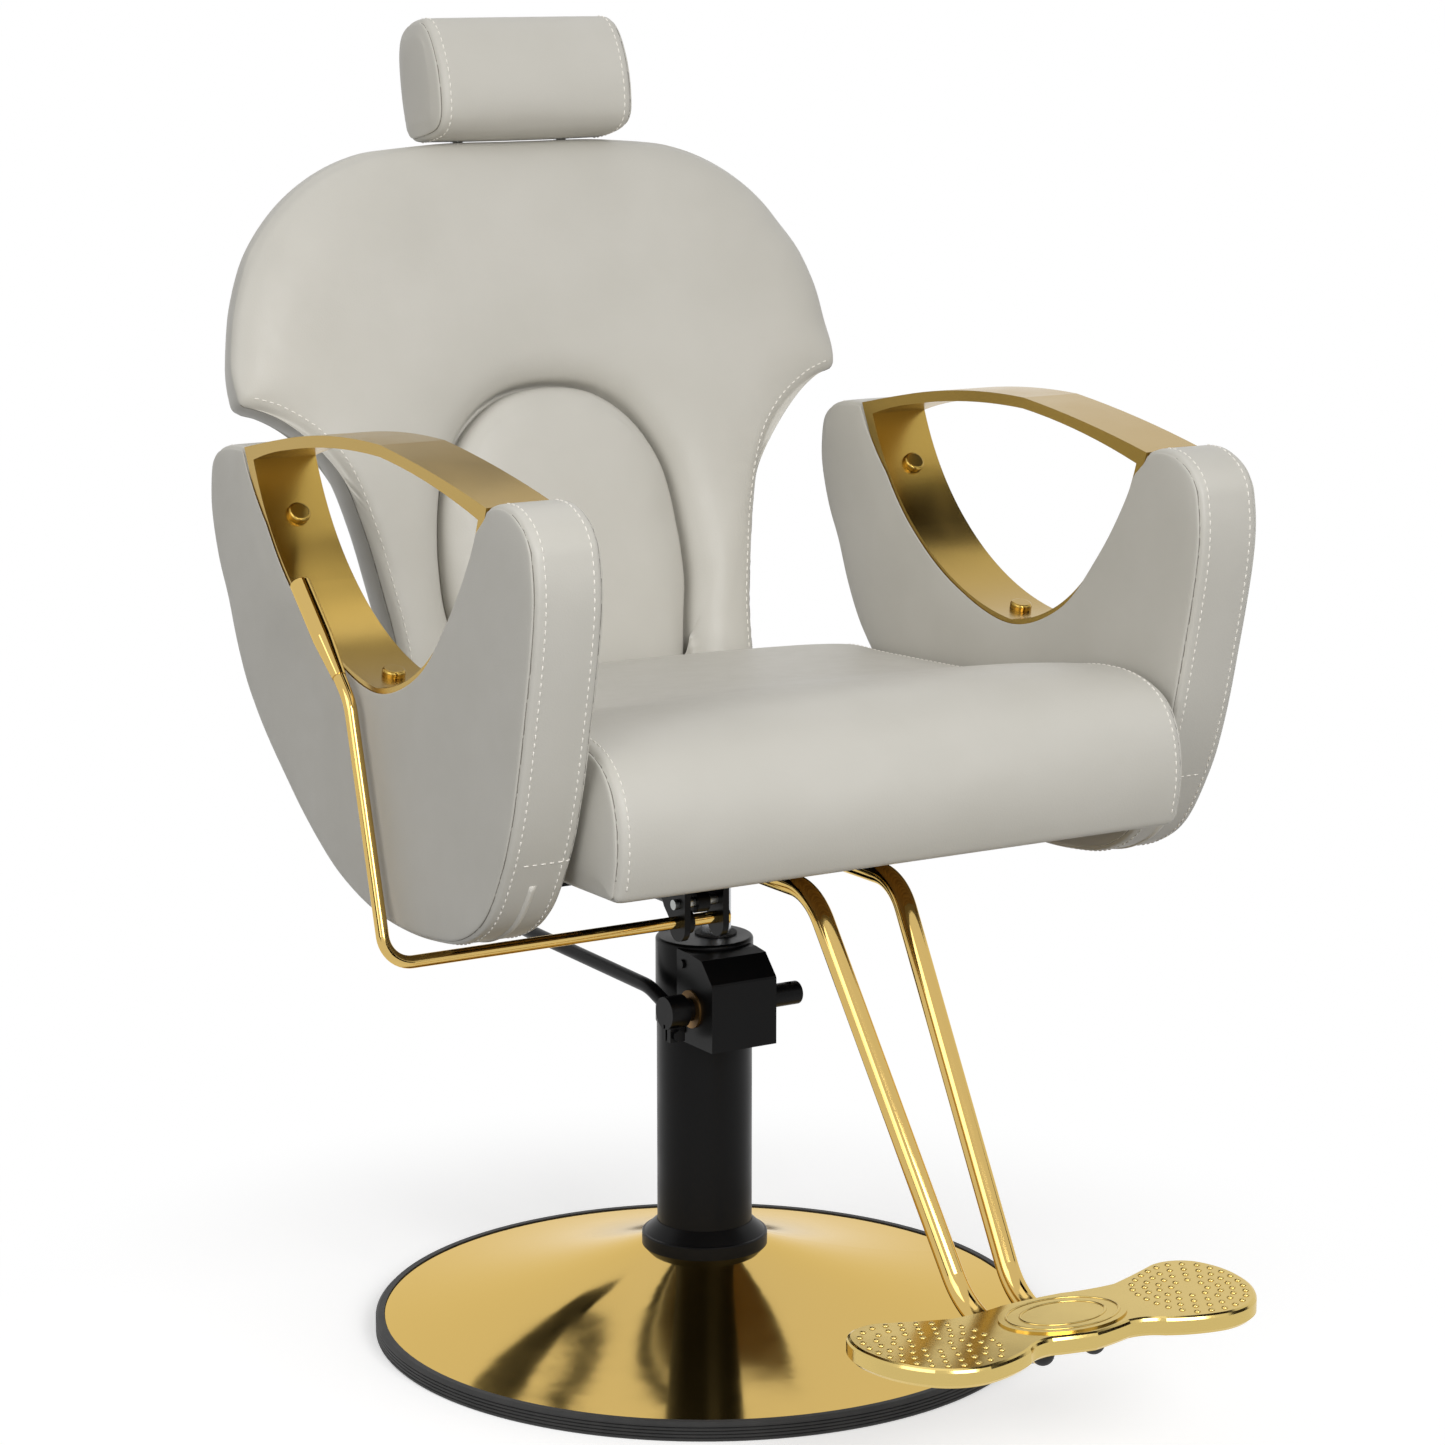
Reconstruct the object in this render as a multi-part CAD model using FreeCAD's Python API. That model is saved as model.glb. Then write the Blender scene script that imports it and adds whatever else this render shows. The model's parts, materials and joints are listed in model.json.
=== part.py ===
"""Hydraulic barber chair: padded seat, back, arms and headrest on a pump column and a round base.

Millimetres, +Z up. The origin is on the column's axis at floor level. The chair faces -Y, and the
sitter's right hand is towards -X, where the recline lever is.
"""
import FreeCAD
import Part
import math
import os

V = FreeCAD.Vector
X_AXIS = V(1, 0, 0)
Y_AXIS = V(0, 1, 0)
Z_AXIS = V(0, 0, 1)

# Base
BASE_R = 300.0
RIM_H = 17.0
RIM_W = 9.0
RIM_GROOVES = 4
PLATE_H = 8.0
HUB_R = 70.0
HUB_TOP = 75.5
COLLAR_R = 57.0
COLLAR_Z = (77.0, 89.0, 100.0)
COLUMN_R = 43.0
COLUMN_WALL = 4.0
COLUMN_FOOT = 20.0
FIT = 0.05

# Pump
HEAD_R = 44.0
HEAD_Z = (287.0, 365.0)
CYLINDER_R = 36.0
RAM_X = 12.0
RAM_R = 13.8
RAM_BOTTOM = 60.0
SHAFT_Y = -45.0
SHAFT_Z = 312.0
SHAFT_R = 10.5
COVER_X = (-41.0, 26.0)
COVER_FRONT = -80.0
COVER_Z = (279.0, 340.0)
SHEET = 3.0
PLUNGER_X = -6.0
PLUNGER_Y = -29.0
PLUNGER_R = 5.0
CLAMP_X = (-69.0, -50.0)
PEDAL_X = -60.0
PEDAL_BAR_R = 6.5
PEDAL_END = (-60.0, 352.0, 332.0)

# Seat frame
MOUNT_Z = (462.0, 470.0)
SOCKET_Z = 441.0
FRAME_Z = (470.0, 492.0)
RAIL_X = 125.0
RAIL_W = 30.0
RAIL_Y = (-190.0, 213.0)
CROSS_RAILS_Y = (-172.0, 190.0)
OUTRIGGERS_Y = (-140.0, -45.0)
END_PLATE_X = (281.5, 289.5)
ARM_BOLTS_Y = (-110.0, -75.0)
ARM_BOLTS_Z = 481.0
LUG_T = 8.0
HINGE_R = 8.0
BOARD_Z = (492.0, 508.0)

# Seat cushion, wrapped round its board
SEAT_HALF = 279.0
BOARD_XY = ((-262.0, 262.0), (-300.0, 180.0))
SEAT_CROWN = 9.0

# Arms
ARM_IN = 292.0
ARM_OUT = 354.0
BAND_T = 10.0
BAND_X = (293.0, 353.0)

# Backrest: a frame of its own, tilted back, with its origin on the front seam at seat height
BACK_TILT = 12.6
BACK_Y = 220.1
BACK_Z = 573.0
BACK_T = 65.0
PIVOT_Y = 232.0
PIVOT_Z = 488.0
RECLINE = 35.0
CRANK_R = 65.5
STRUT_X = -64.5
STRUT_Z = 424.0

# Recline lever
ROD_Y = -97.0
ROD_Z = 408.0
ROD_R = 5.5
LEVER_X = -368.0
EARS_X = (-84.0, -45.0)
EAR_T = 6.0

# Headrest
POST_U = 55.0
POST_W = -22.0
POST_R = 6.0

# Footrest
FOOT_R = 9.5
TUBE_END_Y = -130.0
PLUG_Y = -553.0
PLATE_Z = (155.0, 171.0)


def cyl(radius, start, end):
    """Solid cylinder from one point to another."""
    start, end = V(*start), V(*end)
    return Part.makeCylinder(radius, (end - start).Length, start, end - start)


def tube(outer, inner, start, end):
    """Hollow cylinder from one point to another."""
    return cyl(outer, start, end).cut(cyl(inner, start, end))


def box(x, y, z):
    """Box between pairs of limits."""
    return Part.makeBox(x[1] - x[0], y[1] - y[0], z[1] - z[0], V(x[0], y[0], z[0]))


def spin(profile):
    """Solid of revolution about Z from (radius, z) points."""
    wire = Part.makePolygon([V(r, 0, z) for r, z in profile + profile[:1]])
    return Part.Face(wire).revolve(V(0, 0, 0), Z_AXIS, 360)


def edge_through(a, b, c):
    """Arc through three points, or a straight edge where they are in line."""
    turn = (b - a).cross(c - b).Length
    if turn < 1e-3 * (b - a).Length * (c - b).Length:
        return Part.LineSegment(a, c).toShape()
    return Part.Arc(a, b, c).toShape()


def ring(points):
    """Closed wire of arcs, each through three points of an even list."""
    count = len(points)
    edges = [edge_through(points[i], points[i + 1], points[(i + 2) % count]) for i in range(0, count, 2)]
    return Part.Wire(edges)


def inset(outline, depth):
    """Outline drawn in by a depth: each point moves along its own inward normal."""
    count = len(outline)
    area = sum(outline[i][0] * outline[(i + 1) % count][1] - outline[(i + 1) % count][0] * outline[i][1]
               for i in range(count))
    side = 1.0 if area > 0 else -1.0
    moved = []
    for i, (a, b) in enumerate(outline):
        da = outline[(i + 1) % count][0] - outline[i - 1][0]
        db = outline[(i + 1) % count][1] - outline[i - 1][1]
        length = math.hypot(da, db)
        moved.append((a - side * depth * db / length, b + side * depth * da / length))
    return moved


def shrink(outline, centre, scale):
    """Outline scaled about a centre."""
    return [(centre[0] + (a - centre[0]) * scale, centre[1] + (b - centre[1]) * scale) for a, b in outline]


def loft(wires):
    """Closed solid through a row of like wires."""
    return Part.makeLoft(wires, True, True)


def rounded_path(points, radii):
    """Wire of straight runs joined by tangent arcs of the given radii."""
    points = [V(*p) for p in points]
    edges = []
    start = points[0]
    for i, radius in enumerate(radii, 1):
        into = (points[i - 1] - points[i]).normalize()
        out = (points[i + 1] - points[i]).normalize()
        half = into.getAngle(out) / 2
        reach = radius / math.tan(half)
        middle = (into + out).normalize()
        centre = points[i] + middle * (radius / math.sin(half))
        first, last = points[i] + into * reach, points[i] + out * reach
        edges.append(Part.LineSegment(start, first).toShape())
        edges.append(Part.Arc(first, centre - middle * radius, last).toShape())
        start = last
    edges.append(Part.LineSegment(start, points[-1]).toShape())
    return Part.Wire(edges)


def bent_rod(radius, points, radii):
    """Round bar along a path with rounded bends."""
    path = rounded_path(points, radii)
    section = Part.Wire(Part.makeCircle(radius, V(*points[0]), V(*points[1]) - V(*points[0])))
    return path.makePipeShell([section], True, False)


def hex_bolt(head_r, head_h, shank_r, start, end):
    """Hexagon-headed bolt: the head lies behind the start point, and the shank runs to the end."""
    start, end = V(*start), V(*end)
    axis = (end - start).normalize()
    side = axis.cross(X_AXIS if abs(axis.x) < 0.9 else Y_AXIS).normalize()
    corners = []
    for k in range(7):
        turn = FreeCAD.Rotation(axis, 60 * k)
        corners.append(start - axis * head_h + turn.multVec(side) * head_r)
    head = Part.Face(Part.makePolygon(corners)).extrude(axis * head_h)
    return head.fuse(cyl(shank_r, tuple(start), tuple(end)))


def mirrored(shape):
    """The same shape on the other side of the chair."""
    return shape.mirror(V(0, 0, 0), X_AXIS)


def both(shape):
    """A shape and its mirror image as one group."""
    return Part.Compound([shape, mirrored(shape)])


def cut_all(shape, tools):
    """Shape with every tool taken out of it."""
    for tool in tools:
        shape = shape.cut(tool)
    return shape


# Base


def make_base():
    """Floor plate with its hub, gold cover disc, rubber rim, collar, column and its bearings."""
    plate = spin([(0, 0), (BASE_R - RIM_W, 0), (BASE_R - RIM_W, PLATE_H), (HUB_R + 20, PLATE_H + 2), (HUB_R, 30),
                  (HUB_R - 15, HUB_TOP), (0, HUB_TOP)])
    plate = plate.cut(cyl(COLUMN_R, (0, 0, COLUMN_FOOT), (0, 0, HUB_TOP)))

    wall = 1.5
    slope = [(BASE_R - 8.5, RIM_H - 1), (165.0, 42.0), (COLLAR_R, COLLAR_Z[0])]
    outer = Part.Arc(*[V(r, 0, z) for r, z in slope]).toShape()
    inner = Part.Arc(*[V(r, 0, z - wall) for r, z in slope]).toShape()
    rim_edge = Part.LineSegment(V(slope[0][0], 0, slope[0][1]), V(slope[0][0], 0, slope[0][1] - wall)).toShape()
    top = [V(slope[2][0], 0, slope[2][1]), V(COLUMN_R + 11, 0, slope[2][1]),
           V(COLUMN_R + 11, 0, slope[2][1] - wall), V(slope[2][0], 0, slope[2][1] - wall)]
    top_edges = [Part.LineSegment(top[i], top[i + 1]).toShape() for i in range(3)]
    disc = Part.Face(Part.Wire(Part.sortEdges([outer, inner, rim_edge] + top_edges)[0]))
    disc = disc.revolve(V(0, 0, 0), Z_AXIS, 360)

    groove = 1.2
    pitch = (RIM_H - 5.0) / RIM_GROOVES
    profile = [(BASE_R - RIM_W, 0), (BASE_R - 1.5, 0), (BASE_R, 1.5)]
    for k in range(RIM_GROOVES):
        level = 3.0 + pitch * k
        profile += [(BASE_R, level), (BASE_R - groove, level + 0.5 * groove), (BASE_R, level + groove)]
    profile += [(BASE_R, RIM_H - 2.5), (BASE_R - 2.5, RIM_H), (BASE_R - 8.0, RIM_H), (BASE_R - 8.0, RIM_H - 3.0),
                (BASE_R - RIM_W, RIM_H - 3.0)]
    rim = spin(profile)

    low, edge, high = COLLAR_Z
    neck = COLUMN_R + 0.4
    collar = spin([(COLLAR_R, low), (COLLAR_R, edge - 1), (COLLAR_R - 0.8, edge), (COLLAR_R - 2.4, edge + 0.3),
                   (neck, high), (neck, high - 3.5), (COLLAR_R - 2.5, edge - 1.5), (COLLAR_R - 2.5, low)])

    foot = (HUB_TOP, HUB_TOP + 8)
    foot_r = 53.0
    column = tube(COLUMN_R, COLUMN_R - COLUMN_WALL, (0, 0, COLUMN_FOOT), (0, 0, HEAD_Z[0] - 0.5))
    column = column.fuse(tube(foot_r, COLUMN_R - 0.5, (0, 0, foot[0]), (0, 0, foot[1])))
    bolt_circle = 48.6
    bolts = []
    for k in range(4):
        angle = math.radians(45 + 90 * k)
        x, y = bolt_circle * math.cos(angle), bolt_circle * math.sin(angle)
        bolts.append(hex_bolt(5.0, 4.0, 3.0, (x, y, foot[1]), (x, y, foot[1] - 30)))
    column = cut_all(column, bolts)
    plate = cut_all(plate, bolts)

    thrust = tube(COLUMN_R - COLUMN_WALL - 1, 20.0, (0, 0, COLUMN_FOOT), (0, 0, COLUMN_FOOT + 10))
    bush = tube(COLUMN_R - COLUMN_WALL, CYLINDER_R + FIT, (0, 0, 262), (0, 0, HEAD_Z[0] - 0.5))
    return {"base_plate": plate, "base_disc": disc, "base_rim": rim, "flange_collar": collar,
            "column_tube": column, "flange_bolts": Part.Compound(bolts),
            "swivel_bearings": Part.Compound([thrust, bush])}


# Pump


def arc_from(start, tangent, end):
    """Arc that leaves its start along a unit tangent."""
    chord = end - start
    normal = tangent.cross(chord)
    radius = chord.Length ** 2 / (2 * normal.Length)
    centre = start + normal.normalize().cross(tangent).normalize() * radius
    middle = centre + ((start - centre) + (end - centre)).normalize() * radius
    return Part.Arc(start, middle, end).toShape()


def spring(radius, wire_r, bottom, height, turns, at):
    """Helical spring standing along Z: two tangent arcs to each quarter turn."""
    rise = height / turns / (2 * math.pi)
    step = math.pi / 2
    edges = []
    for k in range(int(turns * 4)):
        ends = []
        for angle in (step * k, step * (k + 1)):
            across, out = radius * math.cos(angle), radius * math.sin(angle)
            point = V(at[0] + across, at[1] + out, bottom + rise * angle)
            ends.append((point, V(-out, across, rise).normalize()))
        (first, leave), (last, arrive) = ends
        chord = last - first
        along = chord.dot(leave + arrive)
        spare = 2 * (1 - leave.dot(arrive))
        reach = (math.sqrt(along ** 2 + spare * chord.dot(chord)) - along) / spare
        near, far = first + leave * reach, last - arrive * reach
        middle = (near + far) * 0.5
        edges.append(arc_from(first, leave, middle))
        edges.append(arc_from(middle, (far - near).normalize(), last))
    start = V(at[0] + radius, at[1], bottom)
    section = Part.Wire(Part.makeCircle(wire_r, start, V(0, radius, rise)))
    return Part.Wire(edges).makePipeShell([section], True, False)


def cover_profile(inner):
    """Side outline (y, z) of the head's cover, or of the space inside it."""
    grow = -SHEET if inner else 0.0
    front = COVER_FRONT - grow
    return [(front, COVER_Z[0] - grow), (front, COVER_Z[1] + grow - 1.2), (front + 0.8, COVER_Z[1] + grow + 0.8),
            (-62.0, 359.0 + grow * 1.3),
            (-46.0, 361.0 + grow), (-20.0, 362.0 + grow), (-20.0, COVER_Z[0] - grow)]


def slab(outline, x0, x1):
    """Flat plate across X from a closed outline of (y, z) points."""
    wire = Part.makePolygon([V(x0, y, z) for y, z in outline + outline[:1]])
    return Part.Face(wire).extrude(V(x1 - x0, 0, 0))


def make_pump():
    """Pump cylinder, head with its pocket, folded cover, bushes, seal, plunger and spring."""
    low, top = HEAD_Z
    cylinder = cyl(CYLINDER_R, (0, 0, 30.3), (0, 0, low))
    cylinder = cylinder.cut(cyl(17.0, (RAM_X, 0, 45), (RAM_X, 0, low)))

    head = cyl(HEAD_R, (0, 0, low), (0, 0, top))
    head = head.makeFillet(3.0, [e for e in head.Edges if abs(e.CenterOfMass.z - top) < 1e-3])
    seal_r = 19.0
    pocket_floor = 298.0
    pocket = box((-40, 25), (-50, -20), (pocket_floor, 328))
    head = cut_all(head, [cyl(RAM_R + FIT, (RAM_X, 0, low), (RAM_X, 0, top)),
                          cyl(seal_r, (RAM_X, 0, top - 5), (RAM_X, 0, top + 1)), pocket,
                          cyl(PLUNGER_R + FIT, (PLUNGER_X, PLUNGER_Y, low), (PLUNGER_X, PLUNGER_Y, top - 30)),
                          cyl(8.6, (PLUNGER_X, PLUNGER_Y, low), (PLUNGER_X, PLUNGER_Y, pocket_floor + 1))])
    seal = tube(seal_r, RAM_R + FIT, (RAM_X, 0, top - 5), (RAM_X, 0, top + 1.5))

    shell = slab(cover_profile(False), *COVER_X)
    hollow = slab(cover_profile(True), COVER_X[0] + SHEET, COVER_X[1] - SHEET)
    around = cyl(HEAD_R, (0, 0, low - 1), (0, 0, top + 2)).fuse(cyl(HEAD_R + 0.6, (0, 0, 270), (0, 0, low)))
    cover = shell.cut(hollow).cut(around)
    bush_r = 14.0
    bushes = []
    for inner, outer in ((COVER_X[0] + SHEET, COVER_X[0] - 2), (COVER_X[1] - SHEET, COVER_X[1] + 2)):
        wall_end = COVER_X[0] if inner < 0 else COVER_X[1]
        barrel = tube(bush_r, SHAFT_R + FIT, (min(inner, outer), SHAFT_Y, SHAFT_Z), (max(inner, outer), SHAFT_Y,
                                                                                  SHAFT_Z))
        flange = tube(bush_r + 3, SHAFT_R + FIT, (min(wall_end, outer), SHAFT_Y, SHAFT_Z),
                      (max(wall_end, outer), SHAFT_Y, SHAFT_Z))
        bushes.append(barrel.fuse(flange))
    cover = cover.cut(cyl(bush_r, (COVER_X[0] - 1, SHAFT_Y, SHAFT_Z), (COVER_X[1] + 1, SHAFT_Y, SHAFT_Z)))
    cover = max(cover.Solids, key=lambda s: s.Volume)
    head = cut_all(head, bushes)
    screws = []
    for x, wall in ((COVER_X[0], 1), (COVER_X[1], -1)):
        for z in (290.5, 350.0):
            y = -30.0 if wall > 0 else -41.0
            reach = x + wall * (SHEET + 9)
            screws.append(cyl(4.0, (x - wall * 2.2, y, z), (x, y, z)).fuse(cyl(2.0, (x, y, z), (reach, y, z))))
    cover = cut_all(cover, screws)
    head = max(cut_all(head, screws).Solids, key=lambda s: s.Volume)

    plunger_top = 304.0
    plunger = cyl(PLUNGER_R, (PLUNGER_X, PLUNGER_Y, low - 12), (PLUNGER_X, PLUNGER_Y, plunger_top))
    plunger = plunger.fuse(cyl(8.2, (PLUNGER_X, PLUNGER_Y, plunger_top - 3), (PLUNGER_X, PLUNGER_Y, plunger_top)))
    bore = cyl(PLUNGER_R + FIT, (PLUNGER_X, PLUNGER_Y, 262), (PLUNGER_X, PLUNGER_Y, low + 1))
    cylinder = cylinder.cut(bore)
    coil = spring(6.9, 0.7, low + 0.8, 12.0, 4, (PLUNGER_X, PLUNGER_Y))
    return {"pump_cylinder": cylinder, "pump_head": head, "ram_seal": seal, "head_cover": cover,
            "cover_screws": Part.Compound(screws), "shaft_bushes": Part.Compound(bushes), "plunger": plunger,
            "plunger_spring": coil}


def make_pump_lever():
    """Cross shaft with its finger, split clamp and bolt, pedal bar and rubber pad."""
    shaft = cyl(SHAFT_R, (CLAMP_X[0], SHAFT_Y, SHAFT_Z), (71, SHAFT_Y, SHAFT_Z))
    shaft = shaft.makeFillet(2.0, [e for e in shaft.Edges if abs(e.CenterOfMass.x - 71) < 1e-3])
    finger = box((PLUNGER_X - 7, PLUNGER_X + 7), (SHAFT_Y, SHAFT_Y + 20), (SHAFT_Z - 7.6, SHAFT_Z + 4))
    shaft = shaft.fuse(finger).cut(cyl(3.6, (60, SHAFT_Y, SHAFT_Z - 15), (60, SHAFT_Y, SHAFT_Z + 15)))

    clamp_r = 14.5
    clamp = cyl(clamp_r, (CLAMP_X[0], SHAFT_Y, SHAFT_Z), (CLAMP_X[1], SHAFT_Y, SHAFT_Z))
    lugs = box((CLAMP_X[0] + 2, CLAMP_X[1] - 2), (SHAFT_Y - 7, SHAFT_Y + 7), (SHAFT_Z - 26, SHAFT_Z))
    clamp = clamp.fuse(lugs)
    slot = box((CLAMP_X[0] - 1, CLAMP_X[1] + 1), (SHAFT_Y - 1.5, SHAFT_Y + 1.5), (SHAFT_Z - 31, SHAFT_Z))
    bore = cyl(SHAFT_R, (CLAMP_X[0] - 1, SHAFT_Y, SHAFT_Z), (CLAMP_X[1] + 1, SHAFT_Y, SHAFT_Z))
    clamp = cut_all(clamp, [slot, bore])
    bolt_z = SHAFT_Z - 19.5
    bolt = hex_bolt(5.5, 4.0, 3.0, (PEDAL_X, SHAFT_Y - 7, bolt_z), (PEDAL_X, SHAFT_Y + 12, bolt_z))
    clamp = clamp.cut(bolt)

    bar_points = [(PEDAL_X, SHAFT_Y + 11, SHAFT_Z + 4), (PEDAL_X, -4, 326), (PEDAL_X, 300, 331), PEDAL_END]
    bar = bent_rod(PEDAL_BAR_R, bar_points, [60, 60])
    pad_y = (332.0, 408.0)
    tread = box((PEDAL_X - 30, PEDAL_X + 30), pad_y, (333.0, 340.0))
    tread = tread.makeFillet(3.0, [e for e in tread.Edges if e.Length < 8])
    bar = bar.fuse(tread).cut(clamp).cut(shaft)
    bar = max(bar.Solids, key=lambda s: s.Volume)
    pad = box((PEDAL_X - 33, PEDAL_X + 33), (pad_y[0] - 2, pad_y[1] + 3), (329.0, 349.0))
    pad = pad.makeFillet(5.0, [e for e in pad.Edges if e.Length < 21])
    ribs = [box((PEDAL_X - 34, PEDAL_X + 34), (y, y + 3), (347.4, 350)) for y in range(340, 404, 9)]
    pad = cut_all(pad, ribs + [bar])
    pad = max(pad.Solids, key=lambda s: s.Volume)
    return {"lever_shaft": shaft, "lever_clamp": clamp, "clamp_bolt": bolt, "pedal_bar": bar, "pedal_pad": pad}


# Seat frame


def rail(x, y, z, wall=2.5, along=1):
    """Box-section steel tube, open at both ends."""
    limits = [x, y, z]
    inner = [(a + wall, b - wall) for a, b in limits]
    inner[along] = (limits[along][0] - 1, limits[along][1] + 1)
    return box(*limits).cut(box(*inner))


def make_frame():
    """Ram, mounting hub, welded seat frame, hinge plates, lever ears, seat board and their fasteners."""
    hub_r = 26.0
    plate = box((-145, 145), (-112, 90), MOUNT_Z)
    hub = plate.fuse(cyl(hub_r, (RAM_X, 0, SOCKET_Z), (RAM_X, 0, MOUNT_Z[0])))
    hub = hub.fuse(Part.makeCone(hub_r, hub_r + 14, 14, V(RAM_X, 0, MOUNT_Z[0] - 14)))
    ram = cyl(RAM_R, (RAM_X, 0, RAM_BOTTOM), (RAM_X, 0, MOUNT_Z[1]))
    ram = ram.fuse(cyl(17.0 - FIT, (RAM_X, 0, RAM_BOTTOM), (RAM_X, 0, RAM_BOTTOM + 22)))
    hub = hub.cut(ram)

    low, high = FRAME_Z
    half = RAIL_W / 2
    frame = rail((RAIL_X - half, RAIL_X + half), RAIL_Y, FRAME_Z)
    frame = frame.fuse(mirrored(frame))
    hollow = [box((x - half + 2.5, x + half - 2.5), (RAIL_Y[0] - 1, RAIL_Y[1] + 1), (low + 2.5, high - 2.5))
              for x in (-RAIL_X, RAIL_X)]
    for y in OUTRIGGERS_Y:
        frame = frame.fuse(rail((-END_PLATE_X[0], END_PLATE_X[0]), (y - 15, y + 15), FRAME_Z, along=0))
    for y in CROSS_RAILS_Y:
        frame = frame.fuse(rail((-RAIL_X, RAIL_X), (y - 12.5, y + 12.5), (low, high - 2), along=0))
    frame = cut_all(frame, hollow)
    end_plate = box(END_PLATE_X, (OUTRIGGERS_Y[0] - 25, OUTRIGGERS_Y[1] + 25), FRAME_Z)
    frame = frame.fuse(end_plate).fuse(mirrored(end_plate))
    lug_r = 18.0
    outer_face = RAIL_X + half
    lug = cyl(lug_r, (outer_face, PIVOT_Y, PIVOT_Z), (outer_face + LUG_T, PIVOT_Y, PIVOT_Z))
    web = slab([(140, low), (214, low), (PIVOT_Y + 14, PIVOT_Z - 12), (PIVOT_Y - 8, PIVOT_Z + 16), (196, high),
                (140, high)], outer_face, outer_face + LUG_T)
    bush_r = 12.0
    bush = tube(bush_r, HINGE_R + FIT, (outer_face - 2, PIVOT_Y, PIVOT_Z), (outer_face + LUG_T, PIVOT_Y, PIVOT_Z))
    bore = cyl(bush_r, (outer_face - 5, PIVOT_Y, PIVOT_Z), (outer_face + LUG_T + 1, PIVOT_Y, PIVOT_Z))
    hinge = lug.fuse(web).cut(bore)
    frame = frame.fuse(hinge).fuse(mirrored(hinge)).removeSplitter()

    mount_bolts = [hex_bolt(9.5, 6.5, 5.0, (sx * RAIL_X, y, MOUNT_Z[0]), (sx * RAIL_X, y, low + 10))
                   for sx in (-1, 1) for y in (-70, 70)]
    board_screws = [hex_bolt(6.0, 3.0, 2.5, (sx * RAIL_X, y, low), (sx * RAIL_X, y, BOARD_Z[1] - 2))
                    for sx in (-1, 1) for y in (-150, 125)]
    arm_bolts = [hex_bolt(8.5, 6.0, 5.0, (side * END_PLATE_X[0], y, ARM_BOLTS_Z), (side * 326, y, ARM_BOLTS_Z))
                 for side in (-1, 1) for y in ARM_BOLTS_Y]
    hub = cut_all(hub, mount_bolts)
    frame = cut_all(frame, mount_bolts + board_screws + arm_bolts)
    board = cut_all(box(*BOARD_XY, BOARD_Z), board_screws)

    ears = []
    ear_top = MOUNT_Z[0] - 6
    ear_half = 13.0
    for x in EARS_X:
        near, far = x - EAR_T / 2, x + EAR_T / 2
        plate = box((near, far), (ROD_Y - ear_half, ROD_Y + ear_half), (ROD_Z - 4, ear_top))
        plate = plate.fuse(cyl(ear_half, (near, ROD_Y, ROD_Z - 4), (far, ROD_Y, ROD_Z - 4)))
        gusset = [(ROD_Y + 12, ROD_Z), (ROD_Y + 22, ROD_Z + 10), (ROD_Y + 44, ear_top), (ROD_Y + 12, ear_top)]
        ears.append(plate.fuse(slab(gusset, near, far)))
    flange = box((EARS_X[0] - 14, EARS_X[1] + 14), (ROD_Y - 14, ROD_Y + 44), (ear_top, MOUNT_Z[0]))
    bracket = flange.fuse(ears[0]).fuse(ears[1])
    across = (EARS_X[0] - 10, EARS_X[1] + 10)
    strut_pin = cyl(4.5, (EARS_X[0] - EAR_T / 2 - 4, ROD_Y, STRUT_Z), (EARS_X[1] + EAR_T / 2 + 4, ROD_Y, STRUT_Z))
    bracket = cut_all(bracket, [cyl(ROD_R + FIT, (across[0], ROD_Y, ROD_Z), (across[1], ROD_Y, ROD_Z)), strut_pin])
    return {"ram": ram, "mount_hub": hub, "mount_bolts": Part.Compound(mount_bolts), "seat_frame": frame,
            "hinge_bushes": both(bush), "lever_bracket": bracket, "strut_pin": strut_pin, "seat_board": board,
            "board_screws": Part.Compound(board_screws), "arm_bolts": Part.Compound(arm_bolts)}


# Seat cushion

SEAT_OUTLINE = [
    (190, 493), (196, 530), (200, 558), (197, 572), (183, 577), (60, 584), (-58, 589), (-100, 594.5), (-140, 604),
    (-200, 617), (-262, 620), (-306, 607), (-327, 575), (-332, 545), (-326, 500), (-322, 494.5), (-314, 493),
    (-60, 492)]


def make_seat():
    """Seat cushion: flat towards the back, with a raised roll at its front, crowned across its width."""
    wires = []
    edge = SEAT_HALF
    middle = (-65.0, 550.0)
    stations = [(edge + 4, 0.82), (edge + 2.5, 0.95), (edge, 1.0), (220, 1.0), (150, 1.0), (75, 1.0)]
    row = stations + [(0, 1.0)] + [(-x, scale) for x, scale in reversed(stations)]
    for x, scale in row:
        crown = SEAT_CROWN * max(0.0, 1 - (x / edge) ** 2)
        outline = shrink(SEAT_OUTLINE, middle, scale)
        lifted = [(y, z + crown * min(1.0, max(0.0, (z - 500) / 90))) for y, z in outline]
        wires.append(ring([V(x, y, z) for y, z in lifted]))
    return {"seat_cushion": loft(wires).cut(box(*BOARD_XY, (BOARD_Z[0] - 5, BOARD_Z[1])))}


# Arms

ARM_LOOP = [(172, 799), (147, 752), (100, 700), (32, 657), (-57, 634), (-128, 657), (-183, 705), (-222, 759),
            (-238, 797), (-151, 817), (-70, 828), (15, 826), (103, 815), (140, 808)]
LOOP_CORNERS = {0: (190, 808), 8: (-252, 808)}
ARM_OUTER = [(-266, 813), (-290, 812.5), (-318, 797), (-330, 768), (-331, 740), (-326, 706), (-313, 640),
             (-296, 572), (-276, 521), (-243, 471), (-200, 446), (-148, 437), (-100, 435), (-49, 439), (-5, 450),
             (34, 466), (80, 494), (120, 525), (158, 557), (190, 590), (213, 628), (232, 672), (246, 697),
             (255, 720), (262, 748), (261, 774), (250, 797), (232, 805), (210, 808)]


def loop_outside(grow):
    """Outer outline of the arm's loop, with its two sharp upper corners."""
    outline = inset(ARM_LOOP, -grow)
    for index, corner in LOOP_CORNERS.items():
        outline[index] = corner
    return outline


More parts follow.
